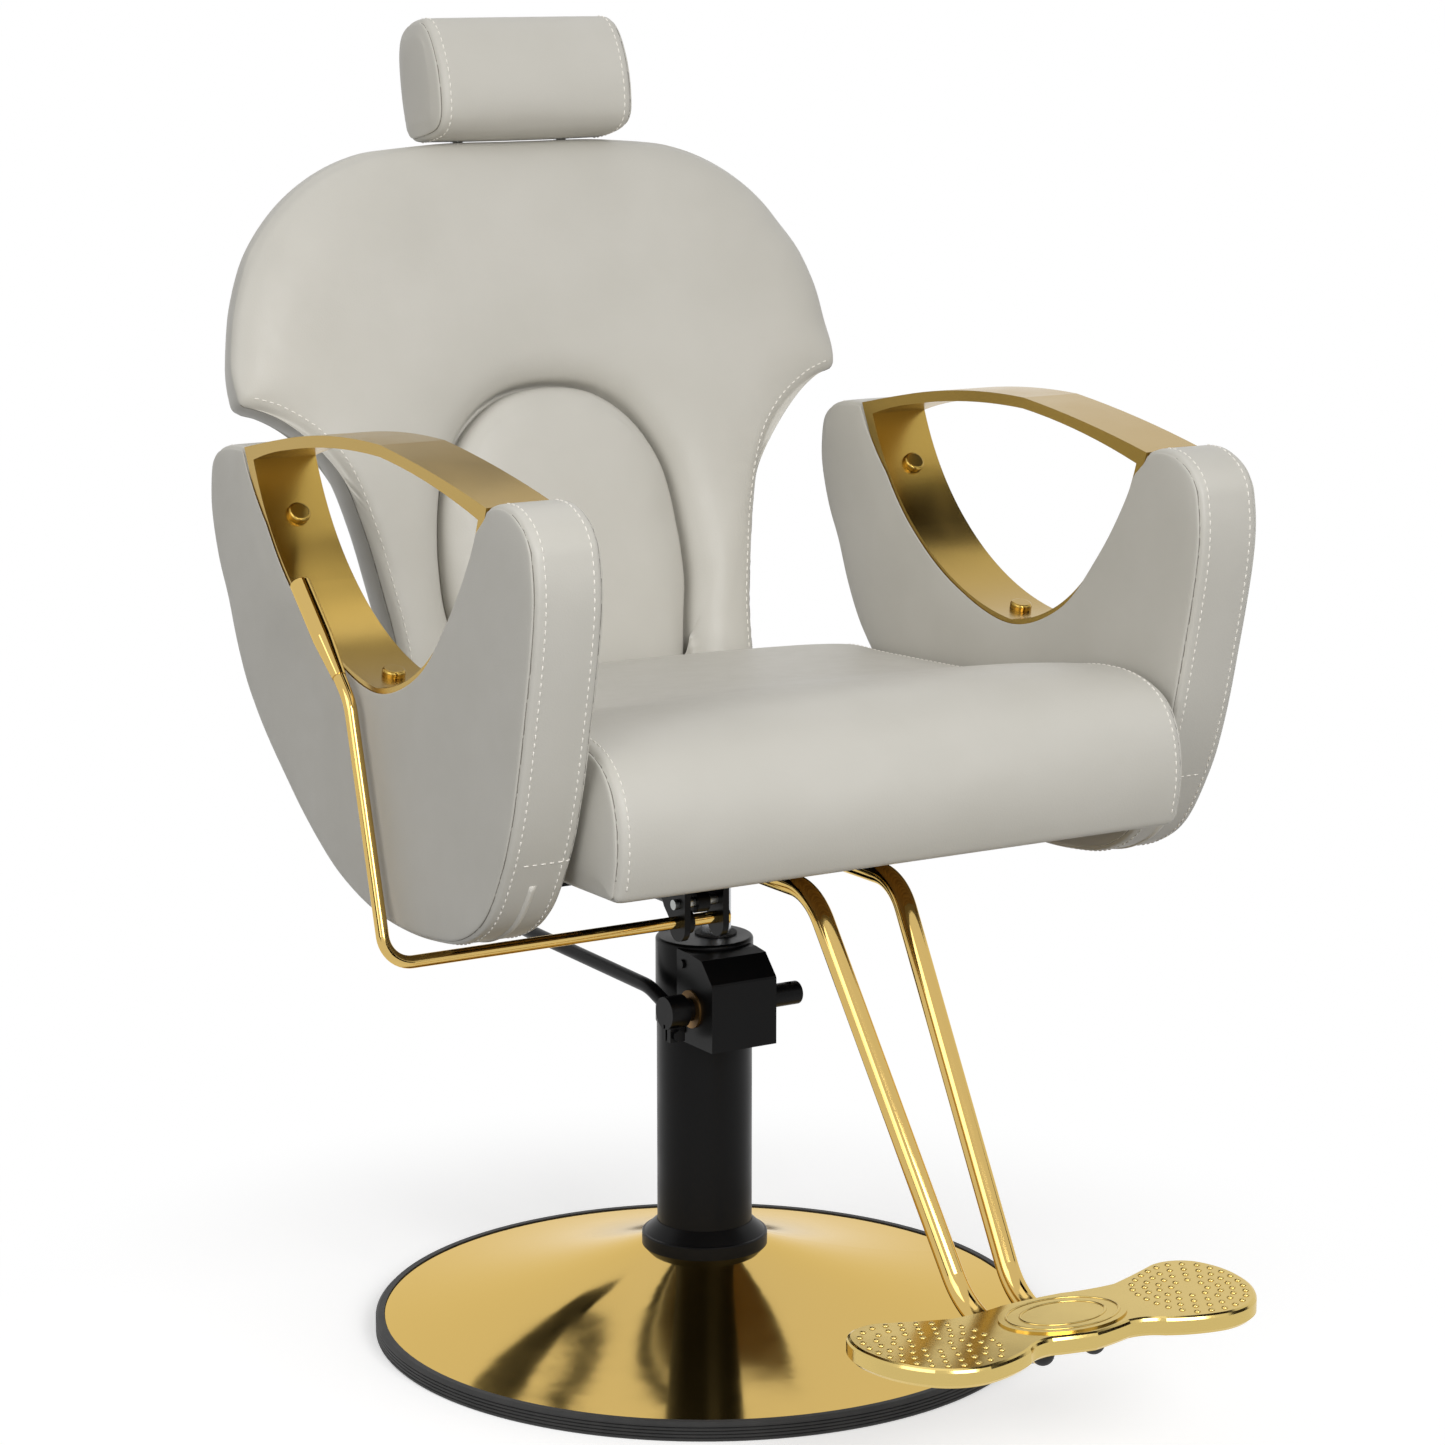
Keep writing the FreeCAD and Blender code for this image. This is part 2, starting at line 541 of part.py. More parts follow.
def make_arms(arm_bolts):
    """Both arms: an upholstered pad with a metal loop let into its top, and the loop's screws."""
    outer, inner = [Part.Face(ring([V(BAND_X[0], y, z) for y, z in outline]))
                    for outline in (loop_outside(BAND_T), ARM_LOOP)]
    depth = V(BAND_X[1] - BAND_X[0], 0, 0)
    band = outer.extrude(depth).cut(inner.extrude(depth))

    bed = loop_outside(BAND_T + 0.2)[:9]
    outline = bed + ARM_OUTER
    sides = [(-2.5, 16.0), (-0.5, 7.0), (2.0, 2.0), (7.0, 0.0)]
    stations = [(ARM_IN + out, deep) for out, deep in sides]
    stations += [(ARM_OUT - out, deep) for out, deep in reversed(sides)]
    pad = loft([ring([V(x, y, z) for y, z in inset(outline, deep)]) for x, deep in stations])

    screws = []
    middle = (BAND_X[0] + BAND_X[1]) / 2
    for y, z, slope in ((147, 752, 48.0), (-30, 638.5, 14.0), (-214, 748, -60.0)):
        up = V(0, -math.sin(math.radians(slope)), math.cos(math.radians(slope)))
        seat = V(middle, y, z) - up * 0.5
        head = Part.makeCylinder(10.0, 6.0, seat, up)
        crown = seat + up * 6
        head = head.makeFillet(2.5, [e for e in head.Edges if e.CenterOfMass.distanceToPoint(crown) < 1e-3])
        screws.append(head.fuse(Part.makeCylinder(4.0, 34.0, seat, up * -1)))
    band = cut_all(band, screws)
    pad = cut_all(pad, screws)
    left = cut_all(pad, arm_bolts)
    right = cut_all(mirrored(pad), arm_bolts)
    return {"arm_pad_left": left, "arm_pad_right": right, "arm_loop_left": band, "arm_loop_right": mirrored(band),
            "loop_screws": Part.Compound(screws + [mirrored(s) for s in screws])}


# Footrest

PLATE_HALF = [(0, -592), (20, -588.5), (38, -584), (51, -585.5), (66, -594), (90, -604.5), (115, -609.5),
              (136, -606.5), (157, -594), (174.5, -568), (181.5, -541), (181.5, -519), (173, -495), (156, -483),
              (135, -482.5), (106, -494.5), (80, -504), (55, -503.5), (30, -499.5), (0, -498.5)]


def make_footrest():
    """Two bent tubes, their clamps under the frame, the footplate, its screws and the tube plugs."""
    level = FRAME_Z[0] - FOOT_R - 0.5
    foot_z = PLATE_Z[0] - FOOT_R
    points = [(43, TUBE_END_Y, level), (43, -244, level), (25, -451, foot_z), (25, PLUG_Y, foot_z)]
    bends = [50, 65]
    bar = bent_rod(FOOT_R, points, bends)
    bars = [bar, mirrored(bar)]
    hollow = bent_rod(FOOT_R - 2, points, bends)
    tubes = [bar.cut(hollow), bars[1].cut(mirrored(hollow))]

    outline = PLATE_HALF + [(-x, y) for x, y in reversed(PLATE_HALF[1:-1])]
    low, high = PLATE_Z
    layers = [(low, 3.0), (low + 3, 0.0), (high - 3, 0.0), (high - 1, 1.0), (high, 3.0)]
    plate = loft([ring([V(x, y, z) for x, y in inset(outline, deep)]) for z, deep in layers])
    oval = Part.Ellipse(V(0, -545, PLATE_Z[1] - 1), 57, 39)
    boss = Part.Face(Part.Wire(oval.toShape())).extrude(V(0, 0, 2.5))
    plate = plate.fuse(boss)

    screws = []
    for x in (-25, 25):
        for y in (-505, -537):
            head = (x, y, foot_z - FOOT_R + 1)
            screws.append(cyl(4.5, (x, y, head[2] - 3), head).fuse(cyl(2.5, head, (x, y, PLATE_Z[1] - 5))))
    tubes = [cut_all(t, screws) for t in tubes]
    plate = cut_all(plate, screws)
    plugs = []
    for x in (-25, 25):
        end = V(x, PLUG_Y, foot_z)
        front = box((x - 12, x + 12), (PLUG_Y - 12, PLUG_Y), (foot_z - 12, foot_z + 12))
        dome = Part.makeSphere(FOOT_R, end).common(front)
        plugs.append(dome.fuse(cyl(FOOT_R - 2, (x, PLUG_Y, foot_z), (x, PLUG_Y + 8, foot_z))))

    clamp_y = (-162.0, -132.0)
    clamp_z = (FRAME_Z[0] - 8, FRAME_Z[0])
    plate_x = ((-80, -43), (-43, 43), (43, 80))
    above = [box((x - FOOT_R, x + FOOT_R), clamp_y, (level, clamp_z[1])) for x in (-43, 43)]
    clamps = [cut_all(box(x, clamp_y, clamp_z), bars + above) for x in plate_x]
    screw_y = -143
    clamp_screws = [hex_bolt(6.5, 4.5, 4.0, (x, screw_y, clamp_z[0]), (x, screw_y, FRAME_Z[0] + 8))
                    for x in (-66, -18, 18, 66)]
    clamps = [cut_all(c, clamp_screws) for c in clamps]
    return {"footrest_tube_left": tubes[0], "footrest_tube_right": tubes[1], "footplate": plate,
            "tube_plugs": Part.Compound(plugs), "footrest_clamps": Part.Compound(clamps),
            "footrest_screws": Part.Compound(screws + clamp_screws)}


# Backrest

TILT = math.radians(BACK_TILT)
BACK_UP = V(0, math.sin(TILT), math.cos(TILT))
BACK_OUT = V(0, -math.cos(TILT), math.sin(TILT))

BACK_HALF = [(0, -62), (90, -62), (182, -61), (185, -30), (187, 0), (190, 45), (197, 89), (208, 145), (226, 202),
             (250, 233), (283, 255), (302, 262), (320, 265), (320.5, 290), (317.5, 315), (309, 354), (288, 400),
             (245, 448), (186, 480), (102, 495.5), (0, 497)]
CREST_HALF = [(0, -60), (90, -60), (180, -59), (183, -30), (185, 0), (188, 45), (195, 89), (206, 145), (224, 202),
              (247, 234), (279, 258), (297, 266.5), (314, 272), (314.7, 298), (312, 323), (303.5, 361), (283, 406),
              (241, 453), (183, 485), (102, 497), (0, 497.5)]
CREST_W = -30.0
INSERT_HALF = [(0, -36), (60, -36), (117, -36), (119, 0), (125, 40), (131, 73), (130, 110), (128.5, 125), (127, 140),
               (118, 190), (92, 232), (51, 260), (0, 270)]
HEAD_OUTLINE = [(-34, 510), (-36, 550), (-32, 589), (-18, 606.5), (6, 609.5), (30, 602.5), (41, 579), (47, 552),
                (42, 525), (36, 504), (16, 500), (-8, 499.5), (-26, 500.5), (-33, 503)]


def on_back(u, v, w):
    """Point of the back's own frame (across, up, out) in the chair's frame."""
    return V(u, BACK_Y, BACK_Z) + BACK_UP * v + BACK_OUT * w


def whole(half):
    """Closed outline from its right half, which starts and ends on the middle line."""
    return half + [(-u, v) for u, v in reversed(half[1:-1])]


def back_ring(outline, centre, w, scale):
    """Outline of the back's own frame, scaled about a centre and set at a depth w."""
    return ring([on_back(u, v, w) for u, v in shrink(outline, centre, scale)])


def back_layers(outline, centre, layers):
    """Solid built up along the back's thickness from (w, scale) layers."""
    return loft([back_ring(outline, centre, w, scale) for w, scale in layers])


def back_box(u, v, w):
    """Box between limits of the back's own frame."""
    base = [on_back(a, b, w[0]) for a, b in ((u[0], v[0]), (u[1], v[0]), (u[1], v[1]), (u[0], v[1]), (u[0], v[0]))]
    return Part.Face(Part.makePolygon(base)).extrude(BACK_OUT * (w[1] - w[0]))


def back_rod(radius, u, v, w):
    """Cylinder up the back between two heights."""
    return cyl(radius, tuple(on_back(u, v[0], w)), tuple(on_back(u, v[1], w)))


def make_back():
    """Back cushion with its inset pad, board, rear panel, brackets, hinge bolts, crank and post guides."""
    outline = whole(BACK_HALF)
    centre = (0.0, 250.0)
    layers = [(outline, -BACK_T, 0.93), (outline, -61.0, 0.95), (whole(CREST_HALF), CREST_W, 1.0),
              (outline, 0.0, 1.0), (outline, 5.0, 0.965), (outline, 9.0, 0.92), (outline, 12.0, 0.86)]
    cushion = loft([back_ring(shape, centre, w, scale) for shape, w, scale in layers])
    board = back_layers(outline, centre, [(-BACK_T, 0.87), (-53.0, 0.87)])
    panel = back_layers(outline, centre, [(-70.0, 0.90), (-BACK_T, 0.915)])
    pocket = back_layers(whole(INSERT_HALF), (0, 117), [(-18, 1.006), (16, 1.006)])
    insert = back_layers(whole(INSERT_HALF), (0, 117), [(-18, 1.0), (-8, 1.0), (-3, 0.96), (1, 0.88), (3, 0.76)])
    guide_v = (300.0, 494.0)
    guides, bores = [], []
    for u in (-POST_U, POST_U):
        bores.append(back_rod(9.0, u, (guide_v[0], 512.0), POST_W))
        guides.append(back_rod(9.0, u, guide_v, POST_W).cut(back_rod(POST_R + FIT, u, guide_v, POST_W)))
    cushion = cut_all(cushion, [board, pocket] + bores)

    lug_r = 16.0
    plate_x = (RAIL_X + RAIL_W / 2 + LUG_T + 0.6, RAIL_X + RAIL_W / 2 + 2 * LUG_T + 0.6)
    web = slab([(228, 473), (284, 473), (304, 500), (318, 600), (299, 600), (281, 520), (266, 494.5), (240, 503)],
               *plate_x)
    web = web.fuse(cyl(lug_r, (plate_x[0], PIVOT_Y, PIVOT_Z), (plate_x[1], PIVOT_Y, PIVOT_Z)))
    flange = back_box((118, plate_x[1]), (-30, 110), (-75, -70))
    bolt = hex_bolt(13.0, 8.0, HINGE_R, (plate_x[1], PIVOT_Y, PIVOT_Z), (RAIL_X + RAIL_W / 2 - 4, PIVOT_Y, PIVOT_Z))
    bracket = cut_all(web.fuse(flange), [cushion, panel, bolt])
    bracket_screws = [hex_bolt(6.5, 4.5, 4.0, tuple(on_back(132, v, -75)), tuple(on_back(132, v, -56)))
                      for v in (-10, 40, 90)]
    bracket = max(cut_all(bracket, bracket_screws).Solids, key=lambda s: s.Volume)
    all_screws = bracket_screws + [mirrored(s) for s in bracket_screws]
    board = cut_all(board, all_screws)
    panel = cut_all(panel, all_screws)

    tube_y, tube_z = 262.0, 478.0
    bar = tube(11.0, 8.5, (-plate_x[0], tube_y, tube_z), (plate_x[0], tube_y, tube_z))
    swing = math.radians(RECLINE / 2)
    pin_y, pin_z = PIVOT_Y + CRANK_R * math.sin(swing), PIVOT_Z - CRANK_R * math.cos(swing)
    for side in (-1, 1):
        near, far = sorted((STRUT_X + side * 6.6, STRUT_X + side * 12.6))
        arm = slab([(250, tube_z), (274, tube_z), (pin_y + 10, pin_z), (pin_y - 10, pin_z)], near, far)
        arm = arm.fuse(cyl(10.0, (near, pin_y, pin_z), (far, pin_y, pin_z)))
        bar = bar.fuse(arm.cut(cyl(10.9, (near - 1, tube_y, tube_z), (far + 1, tube_y, tube_z))))
    pin = cyl(5.0, (STRUT_X - 17, pin_y, pin_z), (STRUT_X + 17, pin_y, pin_z))
    bar = bar.fuse(pin)
    return {"back_cushion": cushion, "back_insert": insert, "back_board": board, "back_panel": panel,
            "back_bracket_left": bracket, "back_bracket_right": mirrored(bracket), "hinge_bolts": both(bolt),
            "bracket_screws": Part.Compound(all_screws), "crank_bar": bar,
            "post_guides": Part.Compound(guides)}


def make_strut():
    """Lock strut under the seat: its cylinder on the lever's ears, and its rod to the back's crank."""
    half = 6.0
    eye = cyl(9.5, (STRUT_X - half, ROD_Y, STRUT_Z), (STRUT_X + half, ROD_Y, STRUT_Z))
    neck = box((STRUT_X - half, STRUT_X + half), (ROD_Y, -74), (STRUT_Z - 7, STRUT_Z + 7))
    body = cyl(12.0, (STRUT_X, -78, STRUT_Z), (STRUT_X, 100, STRUT_Z))
    bore = cyl(10.0, (STRUT_X, -70, STRUT_Z), (STRUT_X, 92, STRUT_Z))
    body = body.fuse(neck).fuse(eye).cut(bore)
    body = body.cut(cyl(5.0 + FIT, (STRUT_X, 90, STRUT_Z), (STRUT_X, 101, STRUT_Z)))
    body = body.cut(cyl(4.5, (STRUT_X - 9, ROD_Y, STRUT_Z), (STRUT_X + 9, ROD_Y, STRUT_Z)))
    swing = math.radians(RECLINE / 2)
    end_y = PIVOT_Y + CRANK_R * math.sin(swing)
    rod = cyl(5.0, (STRUT_X, 30, STRUT_Z), (STRUT_X, end_y - 8, STRUT_Z))
    rod = rod.fuse(cyl(10.0 - FIT, (STRUT_X, 30, STRUT_Z), (STRUT_X, 45, STRUT_Z)))
    rod = rod.fuse(cyl(12.0, (STRUT_X - half, end_y, STRUT_Z), (STRUT_X + half, end_y, STRUT_Z)))
    rod = rod.cut(cyl(7.0, (STRUT_X - 9, end_y, STRUT_Z), (STRUT_X + 9, end_y, STRUT_Z)))
    return {"strut_cylinder": body, "strut_rod": rod}


def make_recline_lever():
    """Bent rod through the ears, with its grip, release cam and end nut."""
    tip = (LEVER_X, 50.3, 705.5)
    knee = (LEVER_X, -37.5, 621.0)
    rod = bent_rod(ROD_R, [(EARS_X[1] + 8, ROD_Y, ROD_Z), (LEVER_X, ROD_Y, ROD_Z), knee, tip], [24, 40])
    along = (V(*tip) - V(*knee)).normalize()
    start = V(*knee) + along * 26
    full = V(*knee) + along * 66
    end = V(*tip) + along * 4
    grip_r = 9.0
    grip = Part.makeCone(ROD_R + 0.6, grip_r, (full - start).Length, start, along)
    grip = grip.fuse(cyl(grip_r, tuple(full), tuple(end)))
    grip = grip.makeFillet(1.5, [e for e in grip.Edges if e.CenterOfMass.distanceToPoint(end) < 1e-2])
    rod = rod.cut(cyl(20, tuple(V(*tip) - along * 6), tuple(V(*tip) + along * 10)))
    grip = grip.cut(cyl(ROD_R, tuple(V(*knee) + along * 20), tuple(V(*tip) - along * 6)))
    near = EARS_X[0] + EAR_T / 2 + 1
    cam = cyl(11.0, (near, ROD_Y, ROD_Z), (near + 5, ROD_Y, ROD_Z))
    cam = cam.fuse(slab([(ROD_Y - 4, ROD_Z - 10), (ROD_Y + 20, ROD_Z - 8), (ROD_Y + 20, ROD_Z), (ROD_Y, ROD_Z + 6)],
                        near, near + 5)).cut(cyl(ROD_R, (near - 1, ROD_Y, ROD_Z), (near + 6, ROD_Y, ROD_Z)))
    right = EARS_X[1] + EAR_T / 2
    rod = rod.fuse(cyl(8.0, (right + 0.4, ROD_Y, ROD_Z), (right + 5.0, ROD_Y, ROD_Z)))
    return {"recline_rod": rod, "recline_grip": grip, "release_cam": cam}


def make_headrest():
    """Headrest pad on its board and two posts."""
    rows = [(98.5, 1.0), (102.5, 0.97), (105.0, 0.9), (106.5, 0.78)]
    stations = [(-u, s) for u, s in reversed(rows)] + rows
    centre = (6.0, 552.0)
    pad = loft([ring([on_back(u, v, w) for w, v in shrink(HEAD_OUTLINE, centre, scale)]) for u, scale in stations])
    board = back_box((-84, 84), (500.0, 592), (-16, -4))
    posts = [back_rod(POST_R, u, (306, 575), POST_W) for u in (-POST_U, POST_U)]
    board = cut_all(board.common(pad), posts)
    pad = cut_all(pad, [board] + posts)
    return {"headrest_pad": pad, "headrest_board": board, "headrest_posts": Part.Compound(posts)}


def make_all():
    """Every sub-part by name."""
    parts = {}
    for make in (make_base, make_pump, make_pump_lever, make_frame, make_seat, make_footrest, make_back, make_strut,
                 make_recline_lever, make_headrest):
        parts.update(make())
    parts.update(make_arms(parts["arm_bolts"].Solids))
    parts["seat_frame"] = cut_all(parts["seat_frame"], parts["footrest_screws"].Solids)
    return parts


def write(parts):
    """One STEP file per sub-part, with a line on each."""
    os.makedirs("parts", exist_ok=True)
    for name, shape in parts.items():
        state = "valid" if shape.isValid() else "NOT VALID"
        print(name, state, len(shape.Solids), "solids", round(shape.Volume / 1000.0, 1), "cm3")
        shape.exportStep("parts/" + name + ".step")


write(make_all())
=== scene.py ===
"""Hydraulic barber chair, dressed: padded seat, back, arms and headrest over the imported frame.

Metres, +Z up. The chair faces -Y, and the sitter's right hand is towards -X. Outlines are written in
millimetres, as a pattern cutter would have them, and turned to metres as they are read.
"""
from __future__ import annotations

import json
import logging
import math
from dataclasses import dataclass, field
from enum import Enum
from typing import Any, Callable, Iterable, Optional, Sequence

import bmesh
import bpy
import numpy as np
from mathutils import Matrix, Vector
from mathutils.bvhtree import BVHTree

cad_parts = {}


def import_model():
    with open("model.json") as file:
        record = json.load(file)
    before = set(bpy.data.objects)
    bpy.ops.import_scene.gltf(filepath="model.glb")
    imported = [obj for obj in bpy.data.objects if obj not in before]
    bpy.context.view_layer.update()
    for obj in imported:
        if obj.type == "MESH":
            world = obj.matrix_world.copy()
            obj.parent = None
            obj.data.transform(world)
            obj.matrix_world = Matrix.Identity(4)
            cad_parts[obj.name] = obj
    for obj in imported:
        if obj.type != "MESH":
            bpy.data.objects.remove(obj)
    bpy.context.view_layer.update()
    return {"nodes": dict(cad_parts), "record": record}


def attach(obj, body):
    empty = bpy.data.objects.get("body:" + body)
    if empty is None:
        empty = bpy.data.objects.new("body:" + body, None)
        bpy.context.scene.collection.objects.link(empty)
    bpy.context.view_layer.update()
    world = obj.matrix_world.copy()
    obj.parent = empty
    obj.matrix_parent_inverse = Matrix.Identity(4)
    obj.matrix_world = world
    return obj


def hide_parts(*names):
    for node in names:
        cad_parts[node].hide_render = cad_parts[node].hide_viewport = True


log = logging.getLogger("chair")

Point = tuple[float, float]
Spot = tuple[float, float, float]
Piece = bpy.types.Object
Tree = bpy.types.NodeTree
Socket = bpy.types.NodeSocket

MM = 0.001
SEAM_CREASE = 0.75
MIRROR = np.array([-1.0, 1.0, 1.0])
ALL = slice(None)
WHITE = (1.0, 1.0, 1.0, 1.0)


class Slot(Enum):
    """Material slots of the record."""

    BLACK = "black_paint"
    GOLD = "gold_plate"
    CAST_GOLD = "gold_cast"
    SATIN_GOLD = "gold_satin"
    STEEL = "steel"
    ZINC = "zinc_steel"
    CHROME = "chrome"
    UPHOLSTERY = "upholstery"
    PLYWOOD = "plywood"
    RUBBER = "rubber"
    BRONZE = "bronze"
    IRON = "cast_iron"


class Body(Enum):
    """Moving bodies that new pieces ride on."""

    SEAT = "seat"
    BACK = "backrest"
    HEAD = "headrest"


# Finishes


def linear(code: str) -> tuple[float, float, float, float]:
    """Linear RGBA of an sRGB colour.

    Args:
        code: six hex digits after a #.

    Returns:
        Red, green, blue and alpha, linear.
    """
    parts = [int(code[i:i + 2], 16) / 255 for i in (1, 3, 5)]
    red, green, blue = [c / 12.92 if c <= 0.04045 else ((c + 0.055) / 1.055) ** 2.4 for c in parts]
    return red, green, blue, 1.0


def feed(tree: Tree, node: bpy.types.Node, key: str | int, value: Any) -> None:
    """Gives one input of a node a value, or the output socket that feeds it."""
    if isinstance(value, Socket):
        tree.links.new(value, node.inputs[key])
    else:
        node.inputs[key].default_value = value


def add(tree: Tree, kind: str, inputs: Optional[dict] = None, **settings: Any) -> bpy.types.Node:
    """Adds one node with its settings and links.

    Args:
        tree: node tree that takes the node.
        kind: the part of the node's type after "ShaderNode", such as "TexNoise".
        inputs: input's name or number to a value, or to the output socket that feeds it.
        settings: properties set on the node itself.

    Returns:
        The new node.
    """
    made = tree.nodes.new("ShaderNode" + kind)
    for name, value in settings.items():
        setattr(made, name, value)
    for key, value in (inputs or {}).items():
        feed(tree, made, key, value)
    return made


@dataclass(frozen=True)
class Patches:
    """Slow change over a surface: how large its patches are, and the least and the most that they add."""

    size_mm: float
    detail: float
    least: float
    most: float


class Coat:
    """Nodes of one material: its shader, and what varies over the surface."""

    def __init__(self, tree: Tree) -> None:
        """Starts from the shader that a fresh material has."""
        self.tree = tree
        self.shader = tree.nodes["Principled BSDF"]
        self.place = add(tree, "TexCoord").outputs["Object"]

    def put(self, name: str, value: Any) -> None:
        """Gives the shader a value, or the output socket that feeds it."""
        feed(self.tree, self.shader, name, value)

    def stretched(self, share: float) -> Socket:
        """Place on the piece, its X shrunk to a share, so that a pattern runs long in X."""
        return add(self.tree, "Mapping", {"Vector": self.place, "Scale": (share, 1.0, 1.0)}).outputs[0]

    def noise(self, place: Socket, size_mm: float, detail: float) -> Socket:
        """Noise whose patches are about a size across."""
        inputs = {"Vector": place, "Scale": 1000.0 / size_mm, "Detail": detail}
        return add(self.tree, "TexNoise", inputs).outputs[0]

    def patches(self, kind: Patches, level: float = 0.0) -> Socket:
        """A level with patches added to it; the noise itself is mostly 0.3 to 0.7."""
        noise = self.noise(self.place, kind.size_mm, kind.detail)
        inputs = {"Value": noise, "From Min": 0.3, "From Max": 0.7, "To Min": level + kind.least,
                  "To Max": level + kind.most}
        return add(self.tree, "MapRange", inputs).outputs[0]

    def tint(self, factor: Socket, colour: str, other: str) -> None:
        """Lets the colour drift towards another by a factor."""
        inputs = {"Factor": factor, "A": linear(colour), "B": linear(other)}
        self.put("Base Color", add(self.tree, "Mix", inputs, data_type="RGBA").outputs["Result"])


@dataclass(frozen=True)
class Finish:
    """One finish: its colour and gloss, the patches in both, its relief, and other values of the shader."""

    name: str
    colour: str
    roughness: float
    metallic: float = 0.0
    grain_mm: float = 1.0
    bump_mm: float = 0.02
    detail: float = 3.0
    stretch: float = 1.0
    gloss: Optional[Patches] = None
    cloud: Optional[Patches] = None
    other: str = "#FFFFFF"
    values: Sequence[tuple[str, Any]] = ()

    def build(self) -> bpy.types.Material:
        """Makes the material."""
        made = bpy.data.materials.new(self.name)
        made.use_nodes = True
        made.diffuse_color = linear(self.colour)
        coat = Coat(made.node_tree)
        coat.put("Base Color", linear(self.colour))
        coat.put("Roughness", self.roughness)
        coat.put("Metallic", self.metallic)
        if self.gloss:
            coat.put("Roughness", coat.patches(self.gloss, self.roughness))
        if self.cloud:
            coat.tint(coat.patches(self.cloud), self.colour, self.other)
        relief = {"Height": self.height(coat), "Distance": self.bump_mm * MM, "Strength": 1.0}
        coat.put("Normal", add(coat.tree, "Bump", relief).outputs[0])
        for name, value in self.values:
            coat.put(name, value)
        return made

    def height(self, coat: Coat) -> Socket:
        """Height of the relief, 0 to 1: here a fine grain, longer in X where it is stretched."""
        return coat.noise(coat.stretched(1.0 / self.stretch), self.grain_mm, self.detail)


@dataclass(frozen=True)
class CoatedFabric(Finish):
    """Polyurethane on knitted cloth: a soft half-gloss, a faint cloudiness and shallow pebble cells."""

    bump_mm: float = 0.05
    pebble_mm: float = 1.5
    gloss: Optional[Patches] = Patches(14.0, 4.0, -0.04, 0.05)
    cloud: Optional[Patches] = Patches(90.0, 3.0, 0.0, 0.5)
    other: str = "#CAC7BF"
    values: Sequence[tuple[str, Any]] = (
        ("Specular IOR Level", 0.45), ("Sheen Weight", 0.08), ("Sheen Roughness", 0.5))

    def height(self, coat: Coat) -> Socket:
        """Pebble cells."""
        inputs = {"Vector": coat.place, "Scale": 1000.0 / self.pebble_mm, "Smoothness": 0.6}
        return add(coat.tree, "TexVoronoi", inputs, feature="SMOOTH_F1").outputs[0]


@dataclass(frozen=True)
class PlatedMetal(Finish):
    """Electroplated over a polished base: a clear mirror, with the polisher's slow waves and a haze."""

    metallic: float = 1.0
    grain_mm: float = 60.0
    bump_mm: float = 0.01
    detail: float = 1.0
    gloss: Optional[Patches] = Patches(35.0, 5.0, 0.0, 0.03)


@dataclass(frozen=True)
class BrushedMetal(Finish):
    """Brushed, then lacquered: a broad soft highlight with hairlines along X."""

    metallic: float = 1.0
    stretch: float = 60.0
    gloss: Optional[Patches] = Patches(70.0, 2.0, -0.03, 0.05)


@dataclass(frozen=True)
class SprayedPaint(Finish):
    """Powder coat: half-gloss black, with the fine ripple that it dries to, dulled a little in patches."""

    detail: float = 2.0
    gloss: Optional[Patches] = Patches(40.0, 4.0, -0.03, 0.06)
    values: Sequence[tuple[str, Any]] = (("Specular IOR Level", 0.13),)


@dataclass(frozen=True)
class Plywood(Finish):
    """Birch plywood: a pale face with long wavy figure along X, its lines about 6 mm apart."""

    other: str = "#A98A5E"

    def height(self, coat: Coat) -> Socket:
        """Grain lines bent by slow noise, which darken the colour too."""
        inputs = {"Vector": coat.stretched(0.12), "Scale": 40.0, "Distortion": 9.0, "Detail": 3.0,
                  "Detail Scale": 2.0}
        lines = add(coat.tree, "TexWave", inputs, bands_direction="Y").outputs["Fac"]
        coat.tint(lines, self.colour, self.other)
        return lines


def grazing(code: str) -> Sequence[tuple[str, Any]]:
    """Shader's value for the colour that a metal has at a flat angle."""
    return (("Specular Tint", linear(code)),)


LEATHERETTE = CoatedFabric("coated_fabric_greige", "#C1BEB5", 0.47)
# Painted shade: a darker copy of the leatherette for the strips laid along the seams. It stands in for the
# shadow in each seam's valley.
PAINTED_SEAM_SHADE = CoatedFabric("coated_fabric_painted_seam_shade", "#77736B", 0.6, bump_mm=0.02, other="#7F7B73")
TAPE = CoatedFabric("woven_zip_tape", "#D9D5CB", 0.6, other="#E4E1D9", pebble_mm=1.0)
THREAD = Finish("sewing_thread", "#EFEBE2", 0.7, grain_mm=0.8, bump_mm=0.05, detail=1.0,
                values=(("Sheen Weight", 0.2),))
CAST_GOLD = PlatedMetal("gold_plate_cast", "#CFB670", 0.13, bump_mm=0.04, values=grazing("#FFF8E4"),
                        gloss=Patches(35.0, 5.0, 0.0, 0.06))

